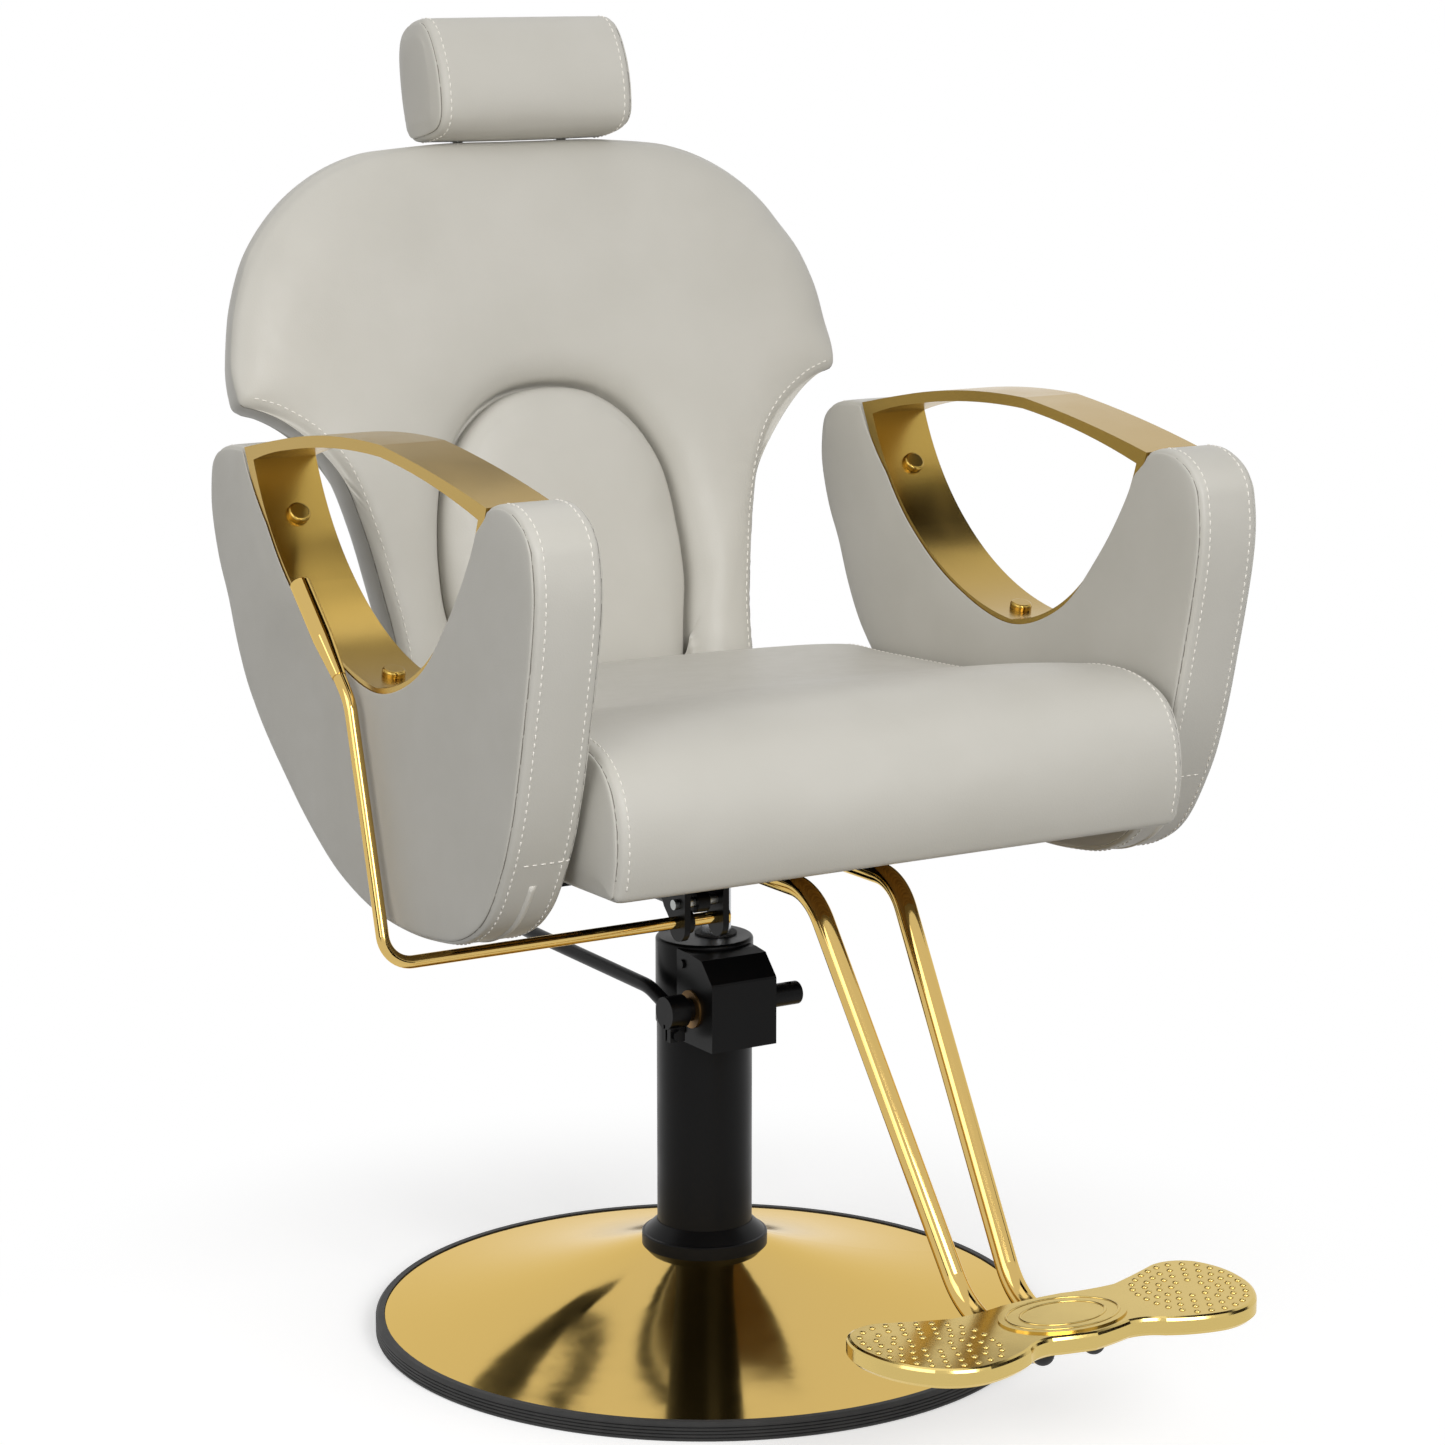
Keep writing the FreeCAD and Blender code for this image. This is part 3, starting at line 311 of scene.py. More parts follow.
SLOT_FINISH = {
    Slot.UPHOLSTERY: LEATHERETTE,
    Slot.CAST_GOLD: CAST_GOLD,
    Slot.GOLD: PlatedMetal("gold_plate_polished", "#CFB06A", 0.07, values=grazing("#FFF1CB")),
    Slot.SATIN_GOLD: BrushedMetal("gold_satin_brushed", "#B3954C", 0.22, grain_mm=0.7, bump_mm=0.012),
    Slot.BLACK: SprayedPaint("powder_coat_black", "#0A0A0B", 0.32, grain_mm=2.5),
    Slot.STEEL: BrushedMetal("ground_steel", "#B9BBBE", 0.22, grain_mm=0.5, bump_mm=0.006),
    Slot.ZINC: PlatedMetal("zinc_plate", "#A9ABA8", 0.32, gloss=Patches(35.0, 5.0, 0.0, 0.1)),
    Slot.CHROME: PlatedMetal("chrome_plate", "#DADCDF", 0.06),
    Slot.RUBBER: Finish("moulded_rubber", "#171717", 0.62, grain_mm=1.2, bump_mm=0.03, detail=2.0,
                        cloud=Patches(25.0, 6.0, 0.0, 0.8), other="#2C2B2A"),
    Slot.BRONZE: BrushedMetal("sintered_bronze", "#8F6E43", 0.42, grain_mm=0.8, bump_mm=0.01),
    Slot.IRON: SprayedPaint("cast_iron_painted", "#19191A", 0.6, grain_mm=3.0, bump_mm=0.12),
    Slot.PLYWOOD: Plywood("birch_plywood", "#CBAF82", 0.6, bump_mm=0.05),
}


class Paintbox:
    """Materials made so far, one for each finish."""

    def __init__(self) -> None:
        """Starts empty."""
        self.made: dict[str, bpy.types.Material] = {}

    def material(self, finish: Finish) -> bpy.types.Material:
        """The finish's material, made the first time it is asked for."""
        if finish.name not in self.made:
            self.made[finish.name] = finish.build()
        return self.made[finish.name]

    def paint(self, piece: Piece, finish: Finish) -> None:
        """Gives a piece one finish all over."""
        piece.data.materials.clear()
        piece.data.materials.append(self.material(finish))

    def dress(self, *pieces: Piece) -> list[Piece]:
        """Paints a cover, its stitching, its strips of painted seam shade and its tape, as many of them as
        are given.
        """
        # The third piece takes the painted seam shade.
        for piece, finish in zip(pieces, (LEATHERETTE, THREAD, PAINTED_SEAM_SHADE, TAPE)):
            self.paint(piece, finish)
        return list(pieces)


# Lines and shells


SAMPLES = 24
CLOTH_STIFFNESS = 20.0
CLOTH_BENDING = 2.0
CLOTH_PRESSURE = 4.0
CLOTH_FRAMES = 20
FOAM_ROUNDS = 4


def run(points: Sequence[Point], count: int) -> np.ndarray:
    """Smooth open line through points, at even steps, without its last point.

    Args:
        points: corners of the line, in the order they are passed.
        count: points wanted.

    Returns:
        Array of count rows.
    """
    given = np.array(points, float)
    if len(given) == 2:
        share = np.linspace(0, 1, count + 1)[:-1, None]
        return given[0] * (1 - share) + given[1] * share
    padded = np.vstack([2 * given[0] - given[1], given, 2 * given[-1] - given[-2]])
    fine = []
    for i in range(len(given) - 1):
        a, b, c, d = padded[i:i + 4]
        reach = np.linalg.norm(c - b)
        back, ahead = np.linalg.norm(b - a) or reach, np.linalg.norm(d - c) or reach
        into = (c - a) / (back + reach) * reach
        out = (d - b) / (reach + ahead) * reach
        for t in np.linspace(0, 1, SAMPLES, endpoint=False):
            fine.append((2 * t ** 3 - 3 * t ** 2 + 1) * b + (t ** 3 - 2 * t ** 2 + t) * into
                        + (3 * t ** 2 - 2 * t ** 3) * c + (t ** 3 - t ** 2) * out)
    fine.append(given[-1])
    return even(np.array(fine), count)


def even(line: np.ndarray, count: int) -> np.ndarray:
    """Open line at even steps, without its last point."""
    steps = np.linalg.norm(np.diff(line, axis=0), axis=1)
    along = np.concatenate([[0], np.cumsum(steps)])
    wanted = np.linspace(0, along[-1], count + 1)[:-1]
    return np.stack([np.interp(wanted, along, line[:, k]) for k in range(line.shape[1])], axis=1)


def inward(outline: np.ndarray, depth: float | np.ndarray) -> np.ndarray:
    """Closed outline moved in along its normals by a depth, or by one depth per point."""
    ahead, behind = np.roll(outline, -1, axis=0), np.roll(outline, 1, axis=0)
    area = np.sum(outline[:, 0] * ahead[:, 1] - ahead[:, 0] * outline[:, 1])
    side = 1.0 if area > 0 else -1.0
    along = ahead - behind
    along /= np.maximum(np.linalg.norm(along, axis=1), 1e-9)[:, None]
    normal = side * np.stack([-along[:, 1], along[:, 0]], axis=1)
    return outline + normal * np.asarray(depth).reshape(-1, 1)


def symmetric(bottom: int, *stretches: tuple[Sequence[Point], int]) -> np.ndarray:
    """Closed outline from its right half.

    Args:
        bottom: points of the level bottom, from the middle to where the first stretch starts.
        stretches: lines that follow each other up to the middle of the top, each with its number of points.

    Returns:
        Array of points, two numbers each, from the bottom's middle round by the right.
    """
    start, end = stretches[0][0][0], stretches[-1][0][-1]
    sides = [run(line, count) for line, count in stretches]
    right = np.vstack([run([(0, start[1]), start], bottom), *sides, [end]])
    return np.vstack([right, right[1:-1][::-1] * MIRROR[:2]])


def distance(points: np.ndarray, line: np.ndarray) -> np.ndarray:
    """Least distance from each point to a closed line."""
    start, step = line, np.roll(line, -1, axis=0) - line
    square = np.maximum((step ** 2).sum(1), 1e-12)
    least = np.full(len(points), np.inf)
    for i, point in enumerate(points):
        share = np.clip(((point - start) * step).sum(1) / square, 0, 1)
        gap = start + step * share[:, None] - point
        least[i] = np.sqrt((gap ** 2).sum(1).min())
    return least


def roll(share: np.ndarray | float) -> np.ndarray:
    """Quarter-round rise: 0 at 0, level at 1 and beyond."""
    kept = np.clip(share, 0.0, 1.0)
    return np.sqrt(np.maximum(0.0, 1.0 - (1.0 - kept) ** 2))


def linked(name: str, data: bpy.types.ID) -> Piece:
    """Object of a mesh, a lamp or a camera, put in the scene."""
    made = bpy.data.objects.new(name, data)
    bpy.context.scene.collection.objects.link(made)
    return made


class Shell:
    """Padded cover under construction: rows of points sewn to each other."""

    settling: int = 150
    doubles: float = 1e-5

    def __init__(self, name: str) -> None:
        """Starts a cover with no rows."""
        self.name = name
        self.points: list[np.ndarray] = []
        self.faces: list[tuple[int, ...]] = []
        self.creased: list[list[int]] = []

    def row(self, points: np.ndarray) -> list[int]:
        """Adds a row of points in metres and returns their numbers."""
        first = len(self.points)
        self.points.extend(np.asarray(points, float))
        return list(range(first, first + len(points)))

    def join(self, one: Sequence[int], two: Sequence[int], closed: bool = True) -> None:
        """Sews two equal rows together with four-sided patches."""
        last = len(one) if closed else len(one) - 1
        for i in range(last):
            k = (i + 1) % len(one)
            self.faces.append((one[i], one[k], two[k], two[i]))

    def stack(self, rows: Iterable[np.ndarray], onto: Sequence[int] = ()) -> list[list[int]]:
        """Adds rows and sews each to the one before, the first to a row that is there already."""
        numbers = [self.row(points) for points in rows]
        before = [onto] + numbers if len(onto) else numbers
        for one, two in zip(before, before[1:]):
            self.join(one, two)
        return numbers

    def cap(self, ring: Sequence[int], wide: int, out: Sequence[float] = (0.0, 0.0, 0.0),
            rise: float = 0.0, soft: float = 0.02) -> None:
        """Closes a ring with a grid of patches.

        Args:
            ring: closed row whose first point is a corner, and the next corner is `wide` points on.
            wide: patches along the first side; the next side takes the rest of half the ring.
            out: direction in which the grid is crowned.
            rise: height of the crown, in metres.
            soft: distance from the ring at which the crown is level, in metres.
        """
        tall = len(ring) // 2 - wide
        places = ([(0, j) for j in range(wide)] + [(i, wide) for i in range(tall)]
                  + [(tall, j) for j in range(wide, 0, -1)] + [(i, 0) for i in range(tall, 0, -1)])
        edge = np.array([self.points[k] for k in ring])
        grid = np.zeros((tall + 1, wide + 1, 3))
        numbers = np.zeros((tall + 1, wide + 1), int)
        for place, point, k in zip(places, edge, ring):
            grid[place] = point
            numbers[place] = k
        down, over = np.linspace(0, 1, tall + 1)[:, None, None], np.linspace(0, 1, wide + 1)[None, :, None]
        across = grid[:, :1] * (1 - over) + grid[:, -1:] * over
        along = grid[:1] * (1 - down) + grid[-1:] * down
        corners = across[:1] * (1 - down) + across[-1:] * down
        grid[1:-1, 1:-1] = (across + along - corners)[1:-1, 1:-1]
        for _ in range(self.settling):
            grid[1:-1, 1:-1] = 0.25 * (grid[:-2, 1:-1] + grid[2:, 1:-1] + grid[1:-1, :-2] + grid[1:-1, 2:])
        inner = grid[1:-1, 1:-1].reshape(-1, 3)
        inner = inner + (rise * roll(distance(inner, edge) / soft))[:, None] * np.array(out)
        numbers[1:-1, 1:-1] = np.array(self.row(inner)).reshape(tall - 1, wide - 1)
        for i in range(tall):
            self.join(list(numbers[i]), list(numbers[i + 1]), closed=False)

    def seam(self, row: Sequence[int]) -> None:
        """Marks a row as a seam, which stays sharp and holds the cover down."""
        self.creased.append(list(row))

    def build(self) -> Piece:
        """Makes the object, with doubles merged, faces outwards, and seams creased."""
        mesh = bpy.data.meshes.new(self.name)
        mesh.from_pydata([tuple(p) for p in self.points], [], self.faces)
        made = linked(self.name, mesh)
        edit = bmesh.new()
        edit.from_mesh(mesh)
        edit.verts.ensure_lookup_table()
        held = edit.verts.layers.int.new("seam")
        for number, row in enumerate(self.creased, 1):
            for k in row:
                edit.verts[k][held] = number
        bmesh.ops.remove_doubles(edit, verts=edit.verts, dist=self.doubles)
        bmesh.ops.dissolve_degenerate(edit, dist=self.doubles / 10, edges=edit.edges)
        bmesh.ops.recalc_face_normals(edit, faces=edit.faces)
        crease = edit.edges.layers.float.new("crease_edge")
        for edge in edit.edges:
            a, b = (v[held] for v in edge.verts)
            if a and a == b:
                edge[crease] = SEAM_CREASE
        edit.to_mesh(mesh)
        edit.free()
        return made


def inflate(piece: Piece, held: Callable[[Vector], bool], cap: float) -> None:
    """Blows a cover up like a filled cushion: cloth under pressure, its seams and held points fixed.

    Args:
        piece: closed cover, whose "seam" attribute marks the seams.
        held: says whether a point rests on something and stays.
        cap: farthest that a point may move, in metres.
    """
    mesh = piece.data
    marks = mesh.attributes["seam"].data
    before = np.array([v.co for v in mesh.vertices])
    fixed = [v.index for v in mesh.vertices if marks[v.index].value or held(v.co)]
    group = piece.vertex_groups.new(name="held")
    group.add(fixed, 1.0, "REPLACE")
    cloth = piece.modifiers.new("Cloth", "CLOTH")
    cloth.settings.vertex_group_mass = group.name
    cloth.settings.tension_stiffness = cloth.settings.compression_stiffness = CLOTH_STIFFNESS
    cloth.settings.bending_stiffness = CLOTH_BENDING
    cloth.settings.use_pressure = True
    cloth.settings.uniform_pressure_force = CLOTH_PRESSURE
    cloth.settings.effector_weights.gravity = 0.0
    cloth.point_cache.frame_start, cloth.point_cache.frame_end = 1, CLOTH_FRAMES
    scene = bpy.context.scene
    for step in range(1, CLOTH_FRAMES + 1):
        scene.frame_set(step)
    swollen = piece.evaluated_get(bpy.context.evaluated_depsgraph_get())
    after = np.array([v.co for v in swollen.data.vertices])
    piece.modifiers.remove(cloth)
    piece.vertex_groups.remove(group)
    scene.frame_set(1)
    moved = after - before
    length = np.linalg.norm(moved, axis=1)
    moved *= (cap * np.tanh(length / cap) / np.maximum(length, 1e-9))[:, None]
    pinned = np.zeros(len(before), bool)
    pinned[fixed] = True
    for vertex, start, move in zip(mesh.vertices, before, evened(mesh, moved, pinned)):
        vertex.co = start + move
    mesh.update()


def evened(mesh: bpy.types.Mesh, moves: np.ndarray, pinned: np.ndarray) -> np.ndarray:
    """Averages each point's move with its neighbours', so that foam, not air, is what the cover shows."""
    ends = np.array([e.vertices[:] for e in mesh.edges])
    for _ in range(FOAM_ROUNDS):
        total, share = np.zeros_like(moves), np.zeros(len(moves))
        for one, two in ((0, 1), (1, 0)):
            np.add.at(total, ends[:, one], moves[ends[:, two]])
            np.add.at(share, ends[:, one], 1.0)
        moves = 0.5 * moves + 0.5 * total / np.maximum(share, 1)[:, None]
        moves[pinned] = 0.0
    return moves


def pick(*chosen: Piece) -> None:
    """Selects these objects alone, the first one active."""
    if bpy.context.mode != "OBJECT":
        bpy.ops.object.mode_set(mode="OBJECT")
    bpy.ops.object.select_all(action="DESELECT")
    for piece in chosen:
        piece.select_set(True)
    bpy.context.view_layer.objects.active = chosen[0]


def round_off(piece: Piece, levels: int = 2) -> None:
    """Subdivides a cover to its finished smoothness."""
    smooth = piece.modifiers.new("Subdivision", "SUBSURF")
    smooth.levels = smooth.render_levels = levels
    pick(piece)
    bpy.ops.object.modifier_apply(modifier=smooth.name)
    piece.data.shade_smooth()


def turned(ring: Sequence[int], start: int) -> list[int]:
    """The same closed row, begun at another point."""
    return list(ring[start:]) + list(ring[:start])


# Stitches and tapes


def surface_of(cover: Piece) -> BVHTree:
    """A finished cover's surface, to be asked for its nearest spot."""
    return BVHTree.FromObject(cover, bpy.context.evaluated_depsgraph_get())


def stops_along(line: np.ndarray, pitch: float) -> list[Vector]:
    """Spots along an open line, about a pitch apart."""
    length = np.linalg.norm(np.diff(line, axis=0), axis=1).sum()
    return [Vector(p) for p in even(line, max(2, int(length / pitch)))]


@dataclass
class Sewing:
    """Rows of stitches."""

    pitch: float = 7.2 * MM
    length: float = 4.6 * MM
    radius: float = 0.62 * MM
    sides: int = 6
    profile: Sequence[Spot] = ((-0.5, 0.45, -0.5), (-0.34, 0.95, 0.25), (0.34, 0.95, 0.25), (0.5, 0.45, -0.5))

    def sew(self, name: str, cover: Piece, lines: Iterable[np.ndarray]) -> Piece:
        """Lays stitches on a cover.

        Args:
            name: name of the new piece.
            cover: finished cover that the stitches lie on.
            lines: open lines of points in metres.

        Returns:
            One object with every stitch.
        """
        surface = surface_of(cover)
        points: list[Vector] = []
        faces: list[tuple[int, ...]] = []
        for line in lines:
            stops = stops_along(line, self.pitch)
            for here, ahead in zip(stops, stops[1:]):
                spot, normal, _, _ = surface.find_nearest(here)
                along = ahead - here
                along = (along - normal * along.dot(normal)).normalized()
                self.stitch(points, faces, spot, along, normal)
        mesh = bpy.data.meshes.new(name)
        mesh.from_pydata(points, [], faces)
        mesh.shade_smooth()
        return linked(name, mesh)

    def stitch(self, points: list[Vector], faces: list[tuple[int, ...]], spot: Vector, along: Vector,
               normal: Vector) -> None:
        """Adds one stitch: a short thread that arches out of one hole and into the next."""
        across = normal.cross(along)
        first = len(points)
        for share, thick, lift in self.profile:
            centre = spot + along * (share * self.length) + normal * (lift * self.radius)
            for k in range(self.sides):
                angle = 2 * math.pi * k / self.sides
                reach = across * math.cos(angle) + normal * math.sin(angle)
                points.append(centre + reach * thick * self.radius)
        last = first + (len(self.profile) - 1) * self.sides
        for ring in range(first, last, self.sides):
            for k in range(self.sides):
                a, b = ring + k, ring + (k + 1) % self.sides
                faces.append((a, b, b + self.sides, a + self.sides))
        faces.append(tuple(first + k for k in reversed(range(self.sides))))
        faces.append(tuple(last + k for k in range(self.sides)))


@dataclass
class Tape:
    """Strip of one section: pairs of a place across it and a height, in millimetres."""

    section: Sequence[Point]
    step: float

    def lay(self, name: str, cover: Piece, lines: Iterable[np.ndarray]) -> Piece:
        """Lays the strip on a cover.

        Args:
            name: name of the new piece.
            cover: finished cover that the strip lies on.
            lines: open lines of points in metres.

        Returns:
            The strips, as one object.
        """
        surface = surface_of(cover)
        shell = Shell(name)
        for line in lines:
            stops = stops_along(line, self.step)
            rows = []
            for before, here, ahead in zip(stops, stops[1:], stops[2:]):
                spot, normal, _, _ = surface.find_nearest(here)
                across = normal.cross((ahead - before).normalized()).normalized()
                rows.append(np.array([spot + (across * a + normal * h) * MM for a, h in self.section]))
            numbers = shell.stack(rows)
            shell.faces.append(tuple(numbers[0]))
            shell.faces.append(tuple(numbers[-1]))
        made = shell.build()
        made.data.shade_smooth()
        return made


ZIP_HALF = [(-3.2, -1.0), (-3.0, 0.3), (-1.6, 0.4), (-1.2, 0.9)]
ZIP = Tape([*ZIP_HALF, (0.0, 1.2), *((-a, h) for a, h in reversed(ZIP_HALF))], 6 * MM)
# Section of the strips of painted seam shade: a low ridge laid in each seam's valley and painted darker than
# the cover, standing in for the seam's shadow.
SEAM_SHADE_STRIP = Tape([(-0.9, -0.6), (-0.7, 0.15), (0.0, 0.4), (0.7, 0.15), (0.9, -0.6)], 5 * MM)


# Cushions with a wrapped main panel


@dataclass
class Wrapped:
    """Cushion with a wrapped main panel and a sewn panel on each end, all in millimetres.

    The hem holds pairs of a distance in from the seam and a depth, and the ends hold pairs of a distance out
    from it and a depth: how far the section there is drawn in. The inner rows have an inset and a count, and
    the ends' caps a number of patches, a rise and the width that it takes.
    """

    half: float
    hem: Sequence[Point]
    ends: Sequence[Point]
    inner: tuple[float, int]
    cap: tuple[int, float, float]
    row_in: float = 8.0

    def section(self, across: float, depth: float) -> np.ndarray:
        """Cross-section at a place across, drawn in by a depth, in metres."""
        raise NotImplementedError

    def sewn(self, name: str) -> Piece:
        """The closed cover, before it is filled."""
        shell = Shell(name)
        inset, count = self.inner
        hem = [(self.half - x, depth) for x, depth in self.hem]
        inner = [(x, 0.0) for x in np.linspace(self.half - inset, inset - self.half, count)]
        stations = hem + inner + [(-x, depth) for x, depth in reversed(hem)]
        rows = shell.stack([self.section(x, depth) for x, depth in stations])
        wide, rise, soft = self.cap
        for side, ring in ((1, rows[0]), (-1, rows[-1])):
            shell.seam(ring)
            panel = [self.section(side * (self.half + x), depth) for x, depth in self.ends]
            shell.cap(shell.stack(panel, ring)[-1], wide, (side, 0, 0), rise * MM, soft * MM)
        return shell.build()

    def trims(self, name: str, cover: Piece, cut: slice = ALL, sunk: slice = ALL) -> list[Piece]:
        """Stitching beside both seams and strips of painted shade along the seams, over a stretch of the
        section each.
        """
        rows = [self.section(side * (self.half - self.row_in), 0.0)[cut] for side in (1, -1)]
        seams = [self.section(side * self.half, self.hem[0][1])[sunk] for side in (1, -1)]
        # The strips along the seams carry painted seam shade.
        return [Sewing().sew(name + "_stitching", cover, rows), SEAM_SHADE_STRIP.lay(name + "_seams", cover, seams)]


@dataclass
class SeatCushion(Wrapped):
    """Seat cushion, with a front roll."""

    half: float = 279.0
    hem: Sequence[Point] = ((0.0, 5.4), (1.5, 2.2), (4.0, 0.6), (8.0, 0.0))
    ends: Sequence[Point] = ((1.5, 3.8), (2.6, 7.2), (3.4, 13.0))
    inner: tuple[float, int] = (22.0, 28)
    cap: tuple[int, float, float] = (16, 2.0, 30.0)
    crown: float = 7.0
    base: float = 500.0
    thick: float = 90.0
    over: Sequence[Point] = (
        (190, 493), (197, 520), (200, 548), (196, 568), (181, 577), (120, 580), (60, 583), (0, 586),
        (-58, 589.5), (-100, 595), (-140, 604), (-170, 611), (-205, 617.5), (-240, 620.5), (-272, 618.5),
        (-300, 609), (-318, 592), (-328, 568), (-331, 540), (-328, 515), (-322, 494))
    counts: tuple[int, int] = (76, 44)

    def section(self, across: float, depth: float) -> np.ndarray:
        """Cross-section at a place across, crowned towards the middle."""
        over, under = self.counts
        shape = inward(np.vstack([run(self.over, over), run([self.over[-1], self.over[0]], under)]), depth)
        high = np.clip((shape[:, 1] - self.base) / self.thick, 0, 1)
        lift = self.crown * max(0.0, 1 - (across / self.half) ** 2) * high
        return np.column_stack([np.full(len(shape), across), shape[:, 0], shape[:, 1] + lift]) * MM

    def build(self, paints: Paintbox) -> list[Piece]:
        """Cushion, its stitching and its strips of painted seam shade, which leave the underside out."""
        cover = self.sewn("seat_cover")
        inflate(cover, lambda p: p.z < self.base * MM, 5 * MM)
        round_off(cover)
        over = self.counts[0]
        pieces = paints.dress(cover, *self.trims("seat", cover, slice(3, over + 1), slice(2, over)))
        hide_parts("seat_cushion")
        return pieces


# Back


@dataclass
class BackFrame:
    """The back's own directions: across, up and out of its front."""

    tilt: float = 12.6
    origin: Spot = (0.0, 220.1, 573.0)

    def turn(self) -> tuple[float, float]:
        """Cosine and sine of the tilt."""
        return math.cos(math.radians(self.tilt)), math.sin(math.radians(self.tilt))

    def place(self, across: Any, up: Any, out: Any) -> np.ndarray:
        """Points of the back's frame, in millimetres, as points of the chair's frame in metres."""
        cos, sin = self.turn()
        across, up, out = np.broadcast_arrays(across, up, out)
        y, z = self.origin[1] + up * sin - out * cos, self.origin[2] + up * cos + out * sin
        return np.column_stack([self.origin[0] + across, y, z]) * MM

    def lay(self, shape: np.ndarray, out: Any) -> np.ndarray:
        """An outline in the back's plane, laid at one height out of it or at one for each point."""
        return self.place(shape[:, 0], shape[:, 1], out)

    def up_out(self, p: Vector) -> Point:
        """How far up the back a point of the chair is, and how far out of its front, in millimetres."""
        cos, sin = self.turn()
        y, z = p.y / MM - self.origin[1], p.z / MM - self.origin[2]
        return y * sin + z * cos, -y * cos + z * sin

    def forward(self) -> Spot:
        """Direction out of the back's front."""
        cos, sin = self.turn()
        return 0.0, -cos, sin


@dataclass
class BackCushion:
    """Back cushion: a domed top that rolls over to the rear, wings, a sewn band below them, and an arch."""

    frame: BackFrame = field(default_factory=BackFrame)
    crown: float = 12.0
    rear: float = -65.0  # the rear face
    rear_edge: float = -61.0  # where the side band ends
    pocket: float = -22.0  # the bottom of the arch's pocket
    middle: float = 250.0  # the height about which the outline narrows
    tips: float = 252.0  # below this height the side is a sewn band
    blend: float = 62.0  # over this much height the band turns into the dome
    fall: Point = (10.0, 18.0)  # drop of the front at its edge, by the band and on the dome
    fall_width: Point = (14.0, 44.0)
    valley: float = 24.0  # depth of the front at the arch
    valley_width: float = 30.0
    wide: float = 80.0  # from the arch to the edge, enough for rows at their full steps
    side: Sequence[Point] = (
        (184, -62), (185, -30), (187, 0), (190, 45), (197, 89), (208, 145), (226, 202), (250, 233),
        (283, 255), (302, 262), (318, 266))
    dome: Sequence[Point] = (
        (318, 266), (320.5, 290), (317.5, 315), (309, 354), (288, 400), (245, 448), (186, 480), (102, 495.5),
        (0, 497))
    arch: Sequence[Point] = (
        (120, -36), (122, 0), (127, 40), (132, 73), (132.5, 100), (131.5, 122), (126, 160), (118, 190),
        (100, 222), (80, 244), (52, 261), (26, 268), (0, 270))
    counts: tuple[int, int, int] = (16, 34, 50)
    wall_depths: Sequence[float] = (-65.0, -61.0, -30.0, 0.0)
    wall_scales: Sequence[float] = (0.915, 0.935, 0.974, 1.0)
    wall_lifts: Sequence[float] = (4.0, 4.0, 14.0, 0.0)
    band_start: float = -10.0
    band: Sequence[Point] = ((0.03, 1.6), (0.10, 0.6), (0.3, -1.4), (0.55, -2.0), (0.8, -0.8), (1.0, 0.6))

    def outer(self) -> np.ndarray:
        """Closed outer outline, from the bottom's middle round by the sitter's left."""
        bottom, low, high = self.counts
        return symmetric(bottom, (self.side, low), (self.dome, high))

    def inner(self) -> np.ndarray:
        """Closed outline of the arch, point for point with the outer outline."""
        bottom, low, high = self.counts
        return symmetric(bottom, (self.arch, low + high))

    def domed(self, points: np.ndarray) -> np.ndarray:
        """How far each point belongs to the rolled dome: 0 below the wings' tips, 1 well above."""
        share = np.clip((points[:, 1] - self.tips) / self.blend, 0.0, 1.0)
        return share * share * (3 - 2 * share)

    def front(self, points: np.ndarray, edge: np.ndarray, hole: np.ndarray) -> np.ndarray:
        """Height of the front over each point, from its distance to the edge and to the arch."""
        domed = self.domed(points)
        fall, width = [low + (high - low) * domed for low, high in (self.fall, self.fall_width)]
        fall = fall * (1 - roll(distance(points, edge) / width))
        sunk = self.valley * (1 - roll(distance(points, hole) / self.valley_width))
        return self.crown - fall - sunk

    @staticmethod
    def columns(hole: np.ndarray, edge: np.ndarray, steps: int = 33, settling: int = 1500) -> np.ndarray:
        """Lines from the arch to the outer edge that never cross: rows, by outline points, by 2."""
        share = np.linspace(0, 1, steps)[:, None, None]
        grid = hole * (1 - share) + edge * share
        for _ in range(settling):
            around = np.roll(grid[1:-1], 1, axis=1) + np.roll(grid[1:-1], -1, axis=1)
            grid[1:-1] = 0.25 * (grid[:-2] + grid[2:] + around)
        return grid

    def rows(self, hole: np.ndarray, edge: np.ndarray, between: int = 12) -> list[np.ndarray]:
        """Rows of the front from the arch to the edge, close together at both, closer where it isn't wide."""
        near, far = np.array([0.0, 2.0, 6.0, 13.0, 24.0]), np.array([22.0, 13.0, 7.0, 3.0, 0.0])
        grid = self.columns(hole, edge)
        made = np.zeros((len(near) + between - 1 + len(far), len(edge), 2))
        for k in range(len(edge)):
            line = grid[:, k]
            along = np.concatenate([[0], np.cumsum(np.linalg.norm(np.diff(line, axis=0), axis=1))])
            length = along[-1]
            squeeze = min(1.0, length / self.wide)
            first, last = near * squeeze, length - far * squeeze
            stops = np.concatenate([first, np.linspace(first[-1], last[0], between + 1)[1:-1], last])
            for axis in (0, 1):
                made[:, k, axis] = np.interp(stops, along, line[:, axis])
        return list(made)

    def wall(self, shape: np.ndarray, out: float) -> np.ndarray:
        """Outline at a depth behind the front: narrower to the rear, its shoulders carried up on the way."""
        scale = np.interp(out, self.wall_depths, self.wall_scales)
        lift = np.interp(out, self.wall_depths, self.wall_lifts) * self.domed(shape)
        shoulder = np.clip((np.abs(shape[:, 0]) - 60.0) / 100.0, 0.35, 1.0)
        up = self.middle + (shape[:, 1] - self.middle) * scale + lift * shoulder
        return np.column_stack([shape[:, 0] * scale, up])

